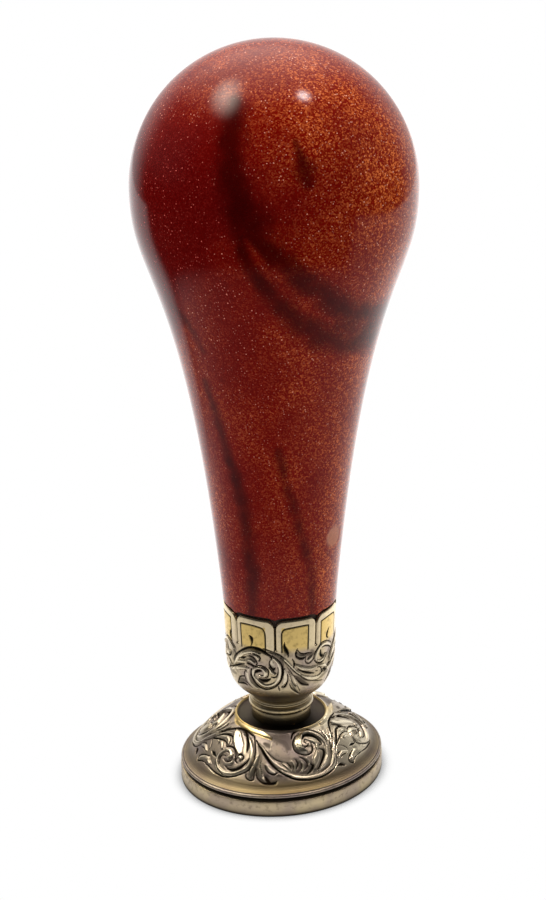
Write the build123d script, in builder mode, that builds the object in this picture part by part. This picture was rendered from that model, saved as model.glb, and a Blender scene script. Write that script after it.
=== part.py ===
from build123d import *
from math import sqrt, tan, radians
import os

# Wax seal stamp: a pear-shaped goldstone glass handle, set in a cup of eight
# lappets on a chased oval base that carries the seal matrix underneath.
# Millimetres, +Z up, origin in the middle of the matrix face.
# The long axis of the oval lies along X.

os.makedirs("parts", exist_ok=True)

# Matrix plate: the oval block that is pressed into the wax
seal_length = 25.9
seal_width = 23.6
band_height = 1.95
band_chamfer = 0.15
groove_height = 0.35
groove_depth = 1.0
register_height = 0.6
border_inset = 1.3
border_width = 0.35
border_depth = 0.15

# Base dome and the bead round its foot
bead_set_back = 0.05
bead_width = 0.95
bead_height = 0.8
bead_round = 0.38
crown_radius = 5.6
dome_rise = 4.8
dome_bulge = 0.63
dome_wall = 0.45
dome_levels = 6

# Neck ring: a turned moulding between the dome and the cup
neck_height = 3.0
neck_foot_radius = 4.5
neck_waist_radius = 3.6
neck_waist_height = 1.2
neck_bead_radius = 4.05
neck_bead_height = 1.15
neck_top_radius = 3.8

# Lappet cup
cup_height = 12.6
cup_foot_radius = 3.9
cup_belly_radius = 6.55
cup_belly_height = 5.5
cup_mouth_radius = 6.87
cup_wall = 0.45
cup_floor = 0.9
lappet_count = 8
slit_width = 0.35
slit_foot_height = 8.2
notch_depth = 0.8
notch_half_width = 1.05

# Handle
handle_reach = 66.4
bulb_radius = 16.35
foot_radius = 6.9
foot_lean = 5.1
shank_pull = 0.84
bulb_pull = 0.22
foot_edge_round = 0.15
spigot_lift = 0.3
spigot_gap = 0.15
socket_depth = 16.0

# Tie peg with its collar, nut and washer
peg_radius = 1.5
peg_end_gap = 0.5
peg_tail = 0.5
collar_radius = 2.6
collar_height = 0.8
washer_radius = 3.0
washer_height = 0.5
nut_across_flats = 5.0
nut_height = 1.8

# Clearances
seat_gap = 0.1
bore_gap = 0.1
cement_gap = 0.03
filling_gap = 0.1

# Heights of the stack, from the matrix face up
rim_seat = band_height + groove_height
dome_foot = rim_seat + bead_height
crown = dome_foot + dome_rise
cup_base = crown + neck_height
floor_top = cup_base + cup_floor
belly = cup_base + cup_belly_height
mouth = cup_base + cup_height
shoulder = mouth + seat_gap
handle_top = shoulder + handle_reach
spigot_end = belly + spigot_lift
socket_end = spigot_end + socket_depth
crown_underside = crown - dome_wall
washer_underside = crown_underside - washer_height
nut_underside = washer_underside - nut_height
register_top = rim_seat + register_height

# Half axes of the oval outlines that share the base
band_half = (seal_length / 2, seal_width / 2)
bead_half = tuple(half - bead_set_back for half in band_half)
foot_half = tuple(half - bead_width for half in bead_half)
peg_bore = peg_radius + bore_gap

# Circle of the cup's bowl: it meets the belly upright and ends at the foot
bowl_reach = cup_belly_radius - cup_foot_radius
bowl_radius = (bowl_reach**2 + cup_belly_height**2) / (2 * bowl_reach)
bowl_centre = cup_belly_radius - bowl_radius


def bowl_half_width(height, inset):
    """Radius of the bowl's wall at a height, moved inwards by inset."""
    return bowl_centre + sqrt((bowl_radius - inset) ** 2 - (belly - height) ** 2)


def dome_level(share, inset):
    """Half axes and height of the dome's outline, from crown (0) to foot (1)."""
    foot_mean = sum(foot_half) / 2
    chord = sqrt((foot_mean - crown_radius) ** 2 + dome_rise**2)
    swell = dome_bulge * 4 * share * (1 - share)
    outward = swell * dome_rise / chord
    upward = swell * (foot_mean - crown_radius) / chord
    length, width = (crown_radius + (half - crown_radius) * share + outward - inset for half in foot_half)
    height = crown - dome_rise * share + upward - inset * (1 - share)
    return length, width, height


def dome_block(inset):
    """The dome's form, moved inwards by inset, and straight below its foot."""
    with BuildPart() as block:
        for step in range(dome_levels):
            length, width, height = dome_level(1 - step / (dome_levels - 1), inset)
            with BuildSketch(Plane.XY.offset(height)):
                Ellipse(length, width)
        loft()
        extrude(block.faces().sort_by(Axis.Z)[0], amount=bead_height)
    return block.part


# Matrix plate with its register for the dome and a border line on its face
with BuildPart() as matrix_plate:
    with BuildSketch():
        Ellipse(*band_half)
    extrude(amount=band_height)
    chamfer(matrix_plate.edges(), band_chamfer)
    with BuildSketch(Plane.XY.offset(band_height)):
        Ellipse(*(half - groove_depth for half in band_half))
    extrude(amount=groove_height)
    with BuildSketch(Plane.XY.offset(rim_seat)):
        Ellipse(*(half - dome_wall - seat_gap for half in foot_half))
    extrude(amount=register_height)
    with BuildSketch():
        Ellipse(*(half - border_inset for half in band_half))
        Ellipse(*(half - border_inset - border_width for half in band_half), mode=Mode.SUBTRACT)
    extrude(amount=border_depth, mode=Mode.SUBTRACT)
matrix_plate.part.label = "matrix_plate"
export_step(matrix_plate.part, "parts/matrix_plate.step")

# Base dome: a hollow oval shell with a round crown and a hole for the peg
with BuildPart() as base_dome:
    add(dome_block(0))
    add(dome_block(dome_wall), mode=Mode.SUBTRACT)
    with Locations((0, 0, crown)):
        Hole(peg_bore, depth=2 * dome_wall)
base_dome.part.label = "base_dome"
export_step(base_dome.part, "parts/base_dome.step")

# Rim bead: the rounded wire soldered round the dome's foot
with BuildPart() as rim_bead:
    with BuildSketch(Plane.XY.offset(rim_seat)):
        Ellipse(*bead_half)
        Ellipse(*(half + seat_gap for half in foot_half), mode=Mode.SUBTRACT)
    extrude(amount=bead_height)
    outer_edges = rim_bead.edges().group_by(SortBy.LENGTH)[-1]
    fillet(outer_edges, bead_round)
rim_bead.part.label = "rim_bead"
export_step(rim_bead.part, "parts/rim_bead.step")

# Filling of the base, with a pocket round the nut
with BuildPart() as base_filling:
    add(dome_block(dome_wall + filling_gap))
    split(bisect_by=Plane.XY.offset(register_top), keep=Keep.TOP)
    with Locations((0, 0, register_top)):
        Cylinder(
            washer_radius + filling_gap,
            crown - register_top,
            align=(Align.CENTER, Align.CENTER, Align.MIN),
            mode=Mode.SUBTRACT,
        )
base_filling.part.label = "base_filling"
export_step(base_filling.part, "parts/base_filling.step")

# Neck ring: cove, waist, bead and a plain top that carries the cup
waist = crown + neck_waist_height
bead_top = waist + neck_bead_height
with BuildPart() as neck_ring:
    with BuildSketch(Plane.XZ):
        with BuildLine():
            Polyline((peg_bore, cup_base), (peg_bore, crown), (neck_foot_radius, crown))
            TangentArc((neck_waist_radius, waist), (neck_foot_radius, crown), tangent=(0, -1))
            ThreePointArc(
                (neck_waist_radius, waist),
                (neck_bead_radius, (waist + bead_top) / 2),
                (neck_waist_radius, bead_top),
            )
            Polyline(
                (neck_waist_radius, bead_top),
                (neck_top_radius, bead_top),
                (neck_top_radius, cup_base),
                (peg_bore, cup_base),
            )
        make_face()
    revolve(axis=Axis.Z)
neck_ring.part.label = "neck_ring"
export_step(neck_ring.part, "parts/neck_ring.step")

# One slit with the flared notch at its top, cut outwards along X
notch_foot = mouth - notch_depth
with BuildPart() as slit:
    with BuildSketch(Plane.YZ):
        with BuildLine():
            Polyline(
                (-slit_width / 2, notch_foot),
                (-slit_width / 2, cup_base + slit_foot_height),
                (slit_width / 2, cup_base + slit_foot_height),
                (slit_width / 2, notch_foot),
            )
            TangentArc((slit_width / 2, notch_foot), (notch_half_width, mouth), tangent=(0, 1))
            Polyline(
                (notch_half_width, mouth),
                (notch_half_width, mouth + cup_wall),
                (-notch_half_width, mouth + cup_wall),
                (-notch_half_width, mouth),
            )
            TangentArc((-slit_width / 2, notch_foot), (-notch_half_width, mouth), tangent=(0, 1))
        make_face()
    extrude(amount=2 * cup_mouth_radius)

# Lappet cup: bowl, tapered wall, and eight lappets parted by the slits
with BuildPart() as lappet_cup:
    with BuildSketch(Plane.XZ):
        with BuildLine():
            Line((peg_bore, cup_base), (cup_foot_radius, cup_base))
            TangentArc((cup_belly_radius, belly), (cup_foot_radius, cup_base), tangent=(0, -1))
            Polyline(
                (cup_belly_radius, belly),
                (cup_mouth_radius, mouth),
                (cup_mouth_radius - cup_wall, mouth),
                (cup_belly_radius - cup_wall, belly),
            )
            TangentArc(
                (cup_belly_radius - cup_wall, belly),
                (bowl_half_width(floor_top, cup_wall), floor_top),
                tangent=(0, -1),
            )
            Polyline(
                (bowl_half_width(floor_top, cup_wall), floor_top),
                (peg_bore, floor_top),
                (peg_bore, cup_base),
            )
        make_face()
    revolve(axis=Axis.Z)
    with PolarLocations(0, lappet_count):
        add(slit.part, mode=Mode.SUBTRACT)
lappet_cup.part.label = "lappet_cup"
export_step(lappet_cup.part, "parts/lappet_cup.step")

# Handle: pear profile, spigot in the cup, and a blind socket for the peg
spigot_radius = cup_belly_radius - cup_wall - spigot_gap
bulb_centre = handle_top - bulb_radius
shank_length = bulb_centre - shoulder
with BuildPart() as goldstone_handle:
    with BuildSketch(Plane.XZ):
        with BuildLine():
            Bezier(
                (foot_radius, shoulder),
                (foot_radius + shank_pull * shank_length * tan(radians(foot_lean)),
                 shoulder + shank_pull * shank_length),
                (bulb_radius, bulb_centre - bulb_pull * shank_length),
                (bulb_radius, bulb_centre),
            )
            CenterArc((0, bulb_centre), bulb_radius, 0, 90)
            Polyline(
                (0, handle_top),
                (0, spigot_end),
                (spigot_radius, spigot_end),
                (spigot_radius, shoulder),
                (foot_radius, shoulder),
            )
        make_face()
    revolve(axis=Axis.Z)
    shoulder_edges = goldstone_handle.edges().filter_by(GeomType.CIRCLE).group_by(Axis.Z)[1]
    fillet(shoulder_edges.sort_by(SortBy.RADIUS)[-1], foot_edge_round)
    with Locations(Location((0, 0, spigot_end), (180, 0, 0))):
        Hole(peg_bore, depth=socket_depth)
goldstone_handle.part.label = "goldstone_handle"
export_step(goldstone_handle.part, "parts/goldstone_handle.step")

# Setting cement: fills the bowl under the handle and the sleeve round its spigot
cement_inset = cup_wall + cement_gap
collar_top = floor_top + collar_height
with BuildPart() as setting_cement:
    with BuildSketch(Plane.XZ):
        with BuildLine():
            Line(
                (collar_radius + bore_gap, floor_top),
                (bowl_half_width(floor_top, cement_inset), floor_top),
            )
            TangentArc(
                (cup_belly_radius - cement_inset, belly),
                (bowl_half_width(floor_top, cement_inset), floor_top),
                tangent=(0, -1),
            )
            Polyline(
                (cup_belly_radius - cement_inset, belly),
                (cup_mouth_radius - cement_inset, mouth),
                (spigot_radius + cement_gap, mouth),
                (spigot_radius + cement_gap, spigot_end),
                (peg_bore, spigot_end),
                (peg_bore, collar_top + bore_gap),
                (collar_radius + bore_gap, collar_top + bore_gap),
                (collar_radius + bore_gap, floor_top),
            )
        make_face()
    revolve(axis=Axis.Z)
setting_cement.part.label = "setting_cement"
export_step(setting_cement.part, "parts/setting_cement.step")

# Tie peg: its collar sits on the cup's floor, and the nut draws the stack together
with BuildPart() as handle_peg:
    with Locations((0, 0, nut_underside - peg_tail)):
        Cylinder(
            peg_radius,
            socket_end - peg_end_gap - nut_underside + peg_tail,
            align=(Align.CENTER, Align.CENTER, Align.MIN),
        )
    with Locations((0, 0, floor_top)):
        Cylinder(collar_radius, collar_height, align=(Align.CENTER, Align.CENTER, Align.MIN))
handle_peg.part.label = "handle_peg"
export_step(handle_peg.part, "parts/handle_peg.step")

# Washer under the crown
with BuildPart() as peg_washer:
    with BuildSketch(Plane.XY.offset(washer_underside)):
        Circle(washer_radius)
        Circle(peg_bore, mode=Mode.SUBTRACT)
    extrude(amount=washer_height)
peg_washer.part.label = "peg_washer"
export_step(peg_washer.part, "parts/peg_washer.step")

# Nut on the peg's lower end
with BuildPart() as peg_nut:
    with BuildSketch(Plane.XY.offset(nut_underside)):
        RegularPolygon(nut_across_flats / 2, 6, major_radius=False)
        Circle(peg_bore, mode=Mode.SUBTRACT)
    extrude(amount=nut_height)
peg_nut.part.label = "peg_nut"
export_step(peg_nut.part, "parts/peg_nut.step")
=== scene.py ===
import math
from functools import partial

import bpy
import numpy as np
from mathutils import Matrix, Vector


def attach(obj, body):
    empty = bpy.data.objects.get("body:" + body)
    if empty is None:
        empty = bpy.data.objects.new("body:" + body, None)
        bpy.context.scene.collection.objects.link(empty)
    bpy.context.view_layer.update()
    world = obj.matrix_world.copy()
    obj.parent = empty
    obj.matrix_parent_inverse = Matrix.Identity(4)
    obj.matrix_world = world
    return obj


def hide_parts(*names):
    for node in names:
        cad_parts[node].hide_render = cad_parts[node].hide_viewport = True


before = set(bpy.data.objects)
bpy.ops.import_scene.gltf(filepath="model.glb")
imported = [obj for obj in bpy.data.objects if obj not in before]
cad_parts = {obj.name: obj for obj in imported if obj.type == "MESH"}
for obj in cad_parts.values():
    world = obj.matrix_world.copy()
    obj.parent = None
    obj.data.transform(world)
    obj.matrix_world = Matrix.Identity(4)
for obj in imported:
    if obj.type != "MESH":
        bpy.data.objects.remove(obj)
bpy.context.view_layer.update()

MM = 0.001

# Sizes of the stamp in millimetres, as in the part's source
PLATE_LONG, PLATE_WIDE = 12.95, 11.8
BAND_TOP, GROOVE_TOP, REGISTER_TOP = 1.95, 2.3, 2.9
GROOVE_INSET, EDGE_CHAMFER = 1.0, 0.15
BORDER_INSET, BORDER_WIDTH, BORDER_DEPTH = 1.3, 0.35, 0.15
BEAD_LONG, BEAD_WIDE, BEAD_TOP = 12.9, 11.75, 3.1
DOME_LONG, DOME_WIDE = 11.95, 10.8
CROWN_RADIUS, CROWN_HEIGHT, DOME_BULGE = 5.6, 7.9, 0.63
WALL = 0.45
PEG_HOLE = 1.6
NECK_TOP = 10.9
CUP_FOOT, CUP_BELLY, CUP_MOUTH = 3.9, 6.55, 6.87
BELLY_HEIGHT, MOUTH_HEIGHT, CUP_FLOOR = 16.4, 23.5, 11.8
BOWL_OFFSET = 0.48
LAPPETS = 8
SLIT_FOOT, SLIT_WIDTH, NOTCH_DEPTH, NOTCH_HALF = 19.1, 0.35, 0.8, 1.05
SHOULDER, GLASS_FOOT, GLASS_LEAN = 23.6, 6.9, 5.1
SPIGOT_RADIUS, SPIGOT_END, SOCKET_DEPTH = 5.95, 16.7, 16.0
BULB_RADIUS, BULB_CENTRE = 16.35, 73.65
SHANK_PULLS = (0.84, 0.22)
SLIT_STEP = 360 / LAPPETS

# The camera: where it stands round the stamp, and where the photograph puts the stamp's axis
CAMERA_TURN, CAMERA_RISE = -39.5, 20.3
CAMERA_DISTANCE, AIM_HEIGHT = 235.3, 42.1
CAMERA_ROLL, CAMERA_LEFT = -0.0146, 0.55
LENS, SENSOR = 80.0, 36.0
# Direction, round the axis, of the side that faces the camera; all ornament is placed from it
FACING = CAMERA_TURN - 90.0


# Shares, turns and nodes

def linear(code):
    """An sRGB hex colour as linear RGBA."""
    parts = [int(code[i:i + 2], 16) / 255 for i in (1, 3, 5)]
    return [c / 12.92 if c < 0.04045 else ((c + 0.055) / 1.055) ** 2.4 for c in parts] + [1.0]


def ramp(value, start, end):
    """Share that is 0 up to the start and 1 from the end on."""
    return np.clip((value - start) / (end - start), 0, 1)


def steep(share, rate):
    """A share that rises faster by that rate and stops at 1."""
    return np.clip(share * rate, 0, 1)


def ease(share):
    """A share that starts and ends softly."""
    return share * share * (3 - 2 * share)


def bell(turn, middle, width):
    """Share that is 1 at a turn and falls off to both sides."""
    return np.exp(-((turn - middle) / width) ** 2)


def all_round(columns):
    """Degrees from the facing side of columns that start at the back."""
    return np.arange(columns) / columns * 360 - 180


def from_facing(degrees):
    """Degrees round the axis as degrees from the facing side."""
    return (degrees - FACING + 180) % 360 - 180


def off_slit(degrees, radius):
    """Millimetres, round a circle, from the nearest slit between lappets."""
    return np.radians(np.abs((degrees + SLIT_STEP / 2) % SLIT_STEP - SLIT_STEP / 2)) * radius


def add_node(tree, kind, inputs=(), **settings):
    """One node with its settings, and its inputs by name or in the order that the node shows them. An input
    is a node or a socket to link, a hex colour or a plain value. A kind without Node is a shader node."""
    node = tree.nodes.new(kind if "Node" in kind else "ShaderNode" + kind)
    for name, value in settings.items():
        setattr(node, name, value)
    if isinstance(inputs, dict):
        pairs = [(node.inputs[name], value) for name, value in inputs.items()]
    else:
        pairs = list(zip([socket for socket in node.inputs if socket.enabled], inputs))
    for socket, value in pairs:
        if isinstance(value, bpy.types.Node):
            value = next(out for out in value.outputs if out.enabled)
        if isinstance(value, bpy.types.NodeSocket):
            tree.links.new(value, socket)
        else:
            is_colour = isinstance(value, str) and value.startswith("#")
            socket.default_value = linear(value) if is_colour else value
    return node


def node_adder(tree):
    """Empties a node tree, and gives add_node for that tree."""
    tree.nodes.clear()
    return partial(add_node, tree)


def new_material(name):
    """A node material, and add_node for its empty tree."""
    material = bpy.data.materials.new(name)
    material.use_nodes = True
    return material, node_adder(material.node_tree)


def new_object(name, data):
    """An object in the scene."""
    piece = bpy.data.objects.new(name, data)
    bpy.context.scene.collection.objects.link(piece)
    return piece


# Meshes

def finished(name, mesh, fields, crease):
    """An object of a mesh with smooth faces up to a crease, and fields of values on its points. A short
    field is 0 on the last points."""
    for field, values in fields.items():
        spread = np.zeros(len(mesh.vertices), np.float32)
        spread[:values.size] = values.ravel()
        mesh.attributes.new(field, "FLOAT", "POINT").data.foreach_set("value", spread)
    mesh.shade_smooth()
    mesh.set_sharp_from_angle(angle=math.radians(crease))
    return new_object(name, mesh)


def shell(name, rings, fields, caps=False, crease=35.0):
    """A closed mesh through rings of points in millimetres, rings in a loop or ending in caps. A field has
    values for the first rings."""
    rows, columns = rings.shape[:2]
    index = np.arange(rows * columns).reshape(rows, columns)
    lower = index[:-1] if caps else index
    upper = index[1:] if caps else np.roll(index, -1, 0)
    quads = np.stack([lower, np.roll(lower, -1, 1), np.roll(upper, -1, 1), upper], -1).reshape(-1, 4)
    faces = quads.tolist()
    points = rings.reshape(-1, 3)
    if caps:
        points = np.vstack([points, rings[0].mean(0), rings[-1].mean(0)])
        first, last = len(points) - 2, len(points) - 1
        faces += [[first, b, a] for a, b in zip(index[0], np.roll(index[0], -1))]
        faces += [[last, a, b] for a, b in zip(index[-1], np.roll(index[-1], -1))]
    # faces that enclose less than nothing are inside out
    a, b, c, d = (points[quads[:, i]] for i in range(4))
    if np.sum(a * np.cross(b, c)) + np.sum(a * np.cross(c, d)) < 0:
        faces = [face[::-1] for face in faces]
    mesh = bpy.data.meshes.new(name)
    mesh.from_pydata((points * MM).tolist(), [], faces)
    return finished(name, mesh, fields, crease)


def dress(piece, material, node):
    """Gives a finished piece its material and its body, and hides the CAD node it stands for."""
    piece.data.materials.clear()
    piece.data.materials.append(material)
    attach(piece, "root")
    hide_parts(node)


def oval_rings(section, long_half, wide_half, columns):
    """Rings of an oval piece from a section of (inset from the outline, height)."""
    turn = np.radians(np.arange(columns) / columns * 360)
    inset, height = np.asarray(section, float).T
    x = (long_half - inset)[:, None] * np.cos(turn)
    y = (wide_half - inset)[:, None] * np.sin(turn)
    return np.stack([x, y, np.broadcast_to(height[:, None], x.shape)], -1)


def wall_normals(rings):
    """Outward normals of rings of points that climb, columns in a loop."""
    climb = np.gradient(rings, axis=0)
    across = np.roll(rings, -1, 1) - np.roll(rings, 1, 1)
    out = np.cross(across, climb)
    return out / np.maximum(np.linalg.norm(out, axis=-1, keepdims=True), 1e-9)


# Relief: strokes placed on an unrolled wall

# The scrolls repeat three times round
REPEATS = 3
UNIT = 360.0 / REPEATS
# How much higher a raised stroke is on its right than on its line, and the half widths at which a raised
# stroke and a cut have their full height and depth
RIGHT_HIGH, FULL_BODY, FULL_CUT = 0.3, 0.3, 0.14
# Wide strokes rise no more than this, raised strokes are worn bright this far, and facets stand this high
MOST_RISE, BODY_POLISH, FACET_FOOT = 1.3, 0.42, 0.08
# Kinds of stroke, and how fast each rises from its edge: dark shades, partly painted shadow and partly
# hatching and matted ground, raised bodies, tilted facets, rubs that are worn bright and painted as
# highlights, gilt lines, and cuts, whose line is dark with patina and, where widest, with painted shadow;
# facets are clean of tarnish and painted shade
RATES = {"shades": 1.6, "bodies": 1.7, "facets": 5, "rubs_and_highlights": 2, "gilds": 2, "cuts": 2.2}
CLEAN_RATE = 4


def spline(points, steps=12):
    """Points of a smooth curve through given points."""
    p = np.asarray(points, float)
    p = np.vstack([2 * p[0] - p[1], p, 2 * p[-1] - p[-2]])
    t = np.linspace(0, 1, steps, endpoint=False)[:, None]
    runs = []
    for a, b, c, d in zip(p[:-3], p[1:-2], p[2:-1], p[3:]):
        bend = (2 * a - 5 * b + 4 * c - d) * t ** 2 + (3 * b - a - 3 * c + d) * t ** 3
        runs.append(0.5 * (2 * b + (c - a) * t + bend))
    return np.vstack(runs + [p[-2:-1]])


def stroke_share(grid, flat, widths, points, turns=(-UNIT, 0.0, UNIT)):
    """How far inside a stroke each grid point lies, 0 at its edge and 1 on its line, and how far it is
    to the stroke's left, from -1 to 1."""
    line = spline(points)
    half = np.interp(np.linspace(0, 1, len(line)), np.linspace(0, 1, len(widths)), widths)
    best, hand = np.zeros(grid.shape[:-1]), np.zeros(grid.shape[:-1])
    for turn in turns:
        xy = flat(line[:, 0] + turn, line[:, 1])
        near = np.all((grid >= xy.min(0) - half.max()) & (grid <= xy.max(0) + half.max()), axis=-1)
        if not near.any():
            continue
        spots = grid[near]
        share, left = best[near], hand[near]
        for a, b, wide_a, wide_b in zip(xy[:-1], xy[1:], half[:-1], half[1:]):
            run = b - a
            along = np.clip((spots - a) @ run / max(run @ run, 1e-12), 0, 1)
            off = spots - a - along[:, None] * run
            wide = np.maximum(wide_a + along * (wide_b - wide_a), 1e-4)
            away = np.hypot(off[:, 0], off[:, 1]) / wide
            closer = 1 - away > share
            share = np.where(closer, 1 - away, share)
            left = np.where(closer, np.sign(run[0] * off[:, 1] - run[1] * off[:, 0]) * away, left)
        best[near], hand[near] = share, left
    return best, hand


def chase(grid, flat, work, lift, depth):
    """Height of chased strokes, and their fields: tarnish with painted shade, polish with painted
    highlights, and gilding.
    """
    high, low, tarnish_and_shade, polish_and_highlight, gild_and_sheen = (np.zeros(grid.shape[:-1]) for _ in range(5))
    inside = partial(stroke_share, grid, flat)
    # shades darken the metal: painted shadow, and hatching and matted ground
    for strength, widths, points in work["shades"]:
        share, _ = inside(widths, points)
        tarnish_and_shade = np.maximum(tarnish_and_shade, strength * steep(share, RATES["shades"]))
    for widths, points in work["bodies"]:
        share, left = inside(widths, points)
        crown = steep(share, RATES["bodies"])
        crown *= 2 - crown
        rise = lift * (1 - RIGHT_HIGH * left) * min(MOST_RISE, max(widths) / FULL_BODY)
        high = np.maximum(high, crown * rise)
        polish_and_highlight = np.maximum(polish_and_highlight, BODY_POLISH * crown)
    for slope, widths, points in work["facets"]:
        share, left = inside(widths, points)
        rise = FACET_FOOT + slope * max(widths) * (1 - left)
        high = np.maximum(high, rise * steep(share, RATES["facets"]))
        tarnish_and_shade *= 1 - steep(share, CLEAN_RATE)
    # rubs lighten the metal: worn bright, and painted highlights
    for strength, widths, points in work["rubs_and_highlights"]:
        share, _ = inside(widths, points)
        polish_and_highlight = np.maximum(polish_and_highlight, strength * ease(share))
        tarnish_and_shade *= 1 - strength * steep(share, RATES["rubs_and_highlights"])
    for strength, widths, points in work["gilds"]:
        share, _ = inside(widths, points)
        laid = strength * steep(share, RATES["gilds"])
        gild_and_sheen = np.maximum(gild_and_sheen, laid)
        tarnish_and_shade *= 1 - laid
    # cuts darken their line: patina, and painted shadow where they are widest
    for widths, points in work["cuts"]:
        share, _ = inside(widths, points)
        low = np.maximum(low, share * min(1.0, max(widths) / FULL_CUT))
        tarnish_and_shade = np.maximum(tarnish_and_shade, steep(share, RATES["cuts"]))
    return high - low * depth, {"tarnish_and_shade": tarnish_and_shade, "polish_and_highlight": polish_and_highlight, "gild_and_sheen": gild_and_sheen}


def chase_round(turn, up, flat, work, lift, depth):
    """Chases one unit of a scroll and repeats it all round: height and fields on every column."""
    unit = (turn >= -UNIT / 2) & (turn < UNIT / 2)
    grid = flat(*np.broadcast_arrays(turn, up))[:, unit]
    height, fields = chase(grid, flat, work, lift, depth)
    first = int(np.argmax(unit))
    around = {name: np.roll(np.tile(field, REPEATS), first, 1) for name, field in fields.items()}
    return np.roll(np.tile(height, REPEATS), first, 1), around


# The cup's scroll. A stroke has its half widths in millimetres, then its points as degrees from the
# facing side and millimetres up the wall from the cup's foot; some have a strength or slope in front
CUP_WORK = {kind: [] for kind in RATES}
CUP_WORK["bodies"] = [
    # arch ribbon, stem ridge and the first volute's ring
    ((0.14, 0.24, 0.24, 0.16), [(-57, 6.0), (-52, 6.85), (-47, 7.45), (-42, 7.98), (-36, 8.4), (-29, 8.66),
     (-22, 8.45)]),
    ((0.12, 0.16, 0.14, 0.1), [(-7, 8.7), (1, 8.25), (6, 7.65), (11, 6.9), (16, 6.2), (22, 5.6)]),
    ((0.2, 0.24, 0.24, 0.24, 0.22, 0.2, 0.16), [(-7, 8.1), (-2.6, 7.5), (-0.9, 6.8), (-0.9, 6.0),
     (-2.4, 5.3), (-5.5, 4.7), (-11, 4.28), (-17, 4.15), (-22, 4.35), (-26.5, 4.8), (-30, 5.5),
     (-29.5, 6.2), (-24.5, 6.6), (-19, 6.5), (-16.3, 6.0), (-18, 5.5), (-23, 5.5)]),
    ((0.1, 0.2, 0.12), [(-35.5, 6.2), (-38, 5.3), (-37, 4.55), (-32, 3.95), (-27, 3.6)]),
    # leaf at the left, lobes and the ball inside the arch
    ((0.1, 0.28, 0.2), [(-66, 4.9), (-55, 5.5), (-47, 5.9), (-39, 6.2)]),
    ((0.08, 0.16, 0.1), [(-53, 6.5), (-47, 6.8), (-41, 7.0)]),
    ((0.1, 0.24, 0.14), [(-38, 7.25), (-33, 7.4), (-28.5, 7.15)]),
    ((0.08, 0.16, 0.12), [(-29, 8.1), (-25.5, 8.05), (-23.6, 7.7)]),
    ((0.14, 0.3, 0.2), [(-9.5, 8.0), (-8.8, 7.4), (-7.4, 6.95)]),
    ((0.1, 0.26, 0.1), [(-12, 6.7), (-9, 6.15), (-5.5, 6.0)]),
    # hanging lobe and leaf fingers
    ((0.1, 0.26, 0.24, 0.1), [(3.5, 6.6), (4.8, 5.6), (4.2, 4.9), (1.6, 4.4)]),
    ((0.06, 0.15, 0.05), [(8.6, 6.1), (10.8, 5.1), (14.2, 4.1), (18, 3.4)]),
    ((0.05, 0.13, 0.05), [(11.5, 5.9), (15.0, 4.8), (18.5, 4.1), (20.5, 3.6)]),
    # leaves at the right, hook leaf and the second volute's ring
    ((0.06, 0.3, 0.3, 0.1), [(21, 5.65), (28, 5.1), (35, 4.75), (43, 4.65), (50, 5.0)]),
    ((0.1, 0.34, 0.28, 0.1), [(15, 7.1), (23, 6.5), (32, 6.2), (42, 6.25)]),
    ((0.08, 0.18, 0.12), [(16.6, 8.6), (19.6, 8.2), (26, 8.05)]),
    ((0.2, 0.3, 0.12), [(30, 7.35), (31.3, 7.5), (34, 7.8)]),
    ((0.1, 0.22, 0.24, 0.22, 0.16), [(39.8, 7.1), (40.0, 7.9), (43.5, 8.6), (49.5, 8.8), (56, 8.62),
     (63, 8.1)]),
    ((0.1, 0.2, 0.1), [(41, 6.95), (45.5, 6.75), (51, 6.9), (53.5, 7.4)]),
    ((0.08, 0.22, 0.1), [(42, 6.2), (52, 5.9), (60, 5.2)]),
]
CUP_WORK["rubs_and_highlights"] = [
    # arch ribbon, ring and stem ridge
    (0.55, (0.1, 0.18, 0.16), [(-54, 6.4), (-47, 7.45), (-39, 8.22)]),
    (0.6, (0.08, 0.16, 0.12), [(-2.2, 7.3), (-0.9, 6.5), (-1.2, 5.7)]),
    (0.5, (0.08, 0.16, 0.1), [(-12, 4.24), (-19, 4.2), (-26, 4.75)]),
    (0.5, (0.08, 0.12, 0.08), [(4, 7.95), (10, 7.05), (17, 6.1)]),
    (0.45, (0.1, 0.22, 0.1), [(22, 6.55), (30, 6.25), (39, 6.22)]),
    (0.45, (0.1, 0.2, 0.1), [(27, 5.15), (35, 4.78), (43, 4.68)]),
    (0.5, (0.08, 0.16, 0.1), [(41, 8.2), (46, 8.75), (53, 8.72)]),
]
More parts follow.
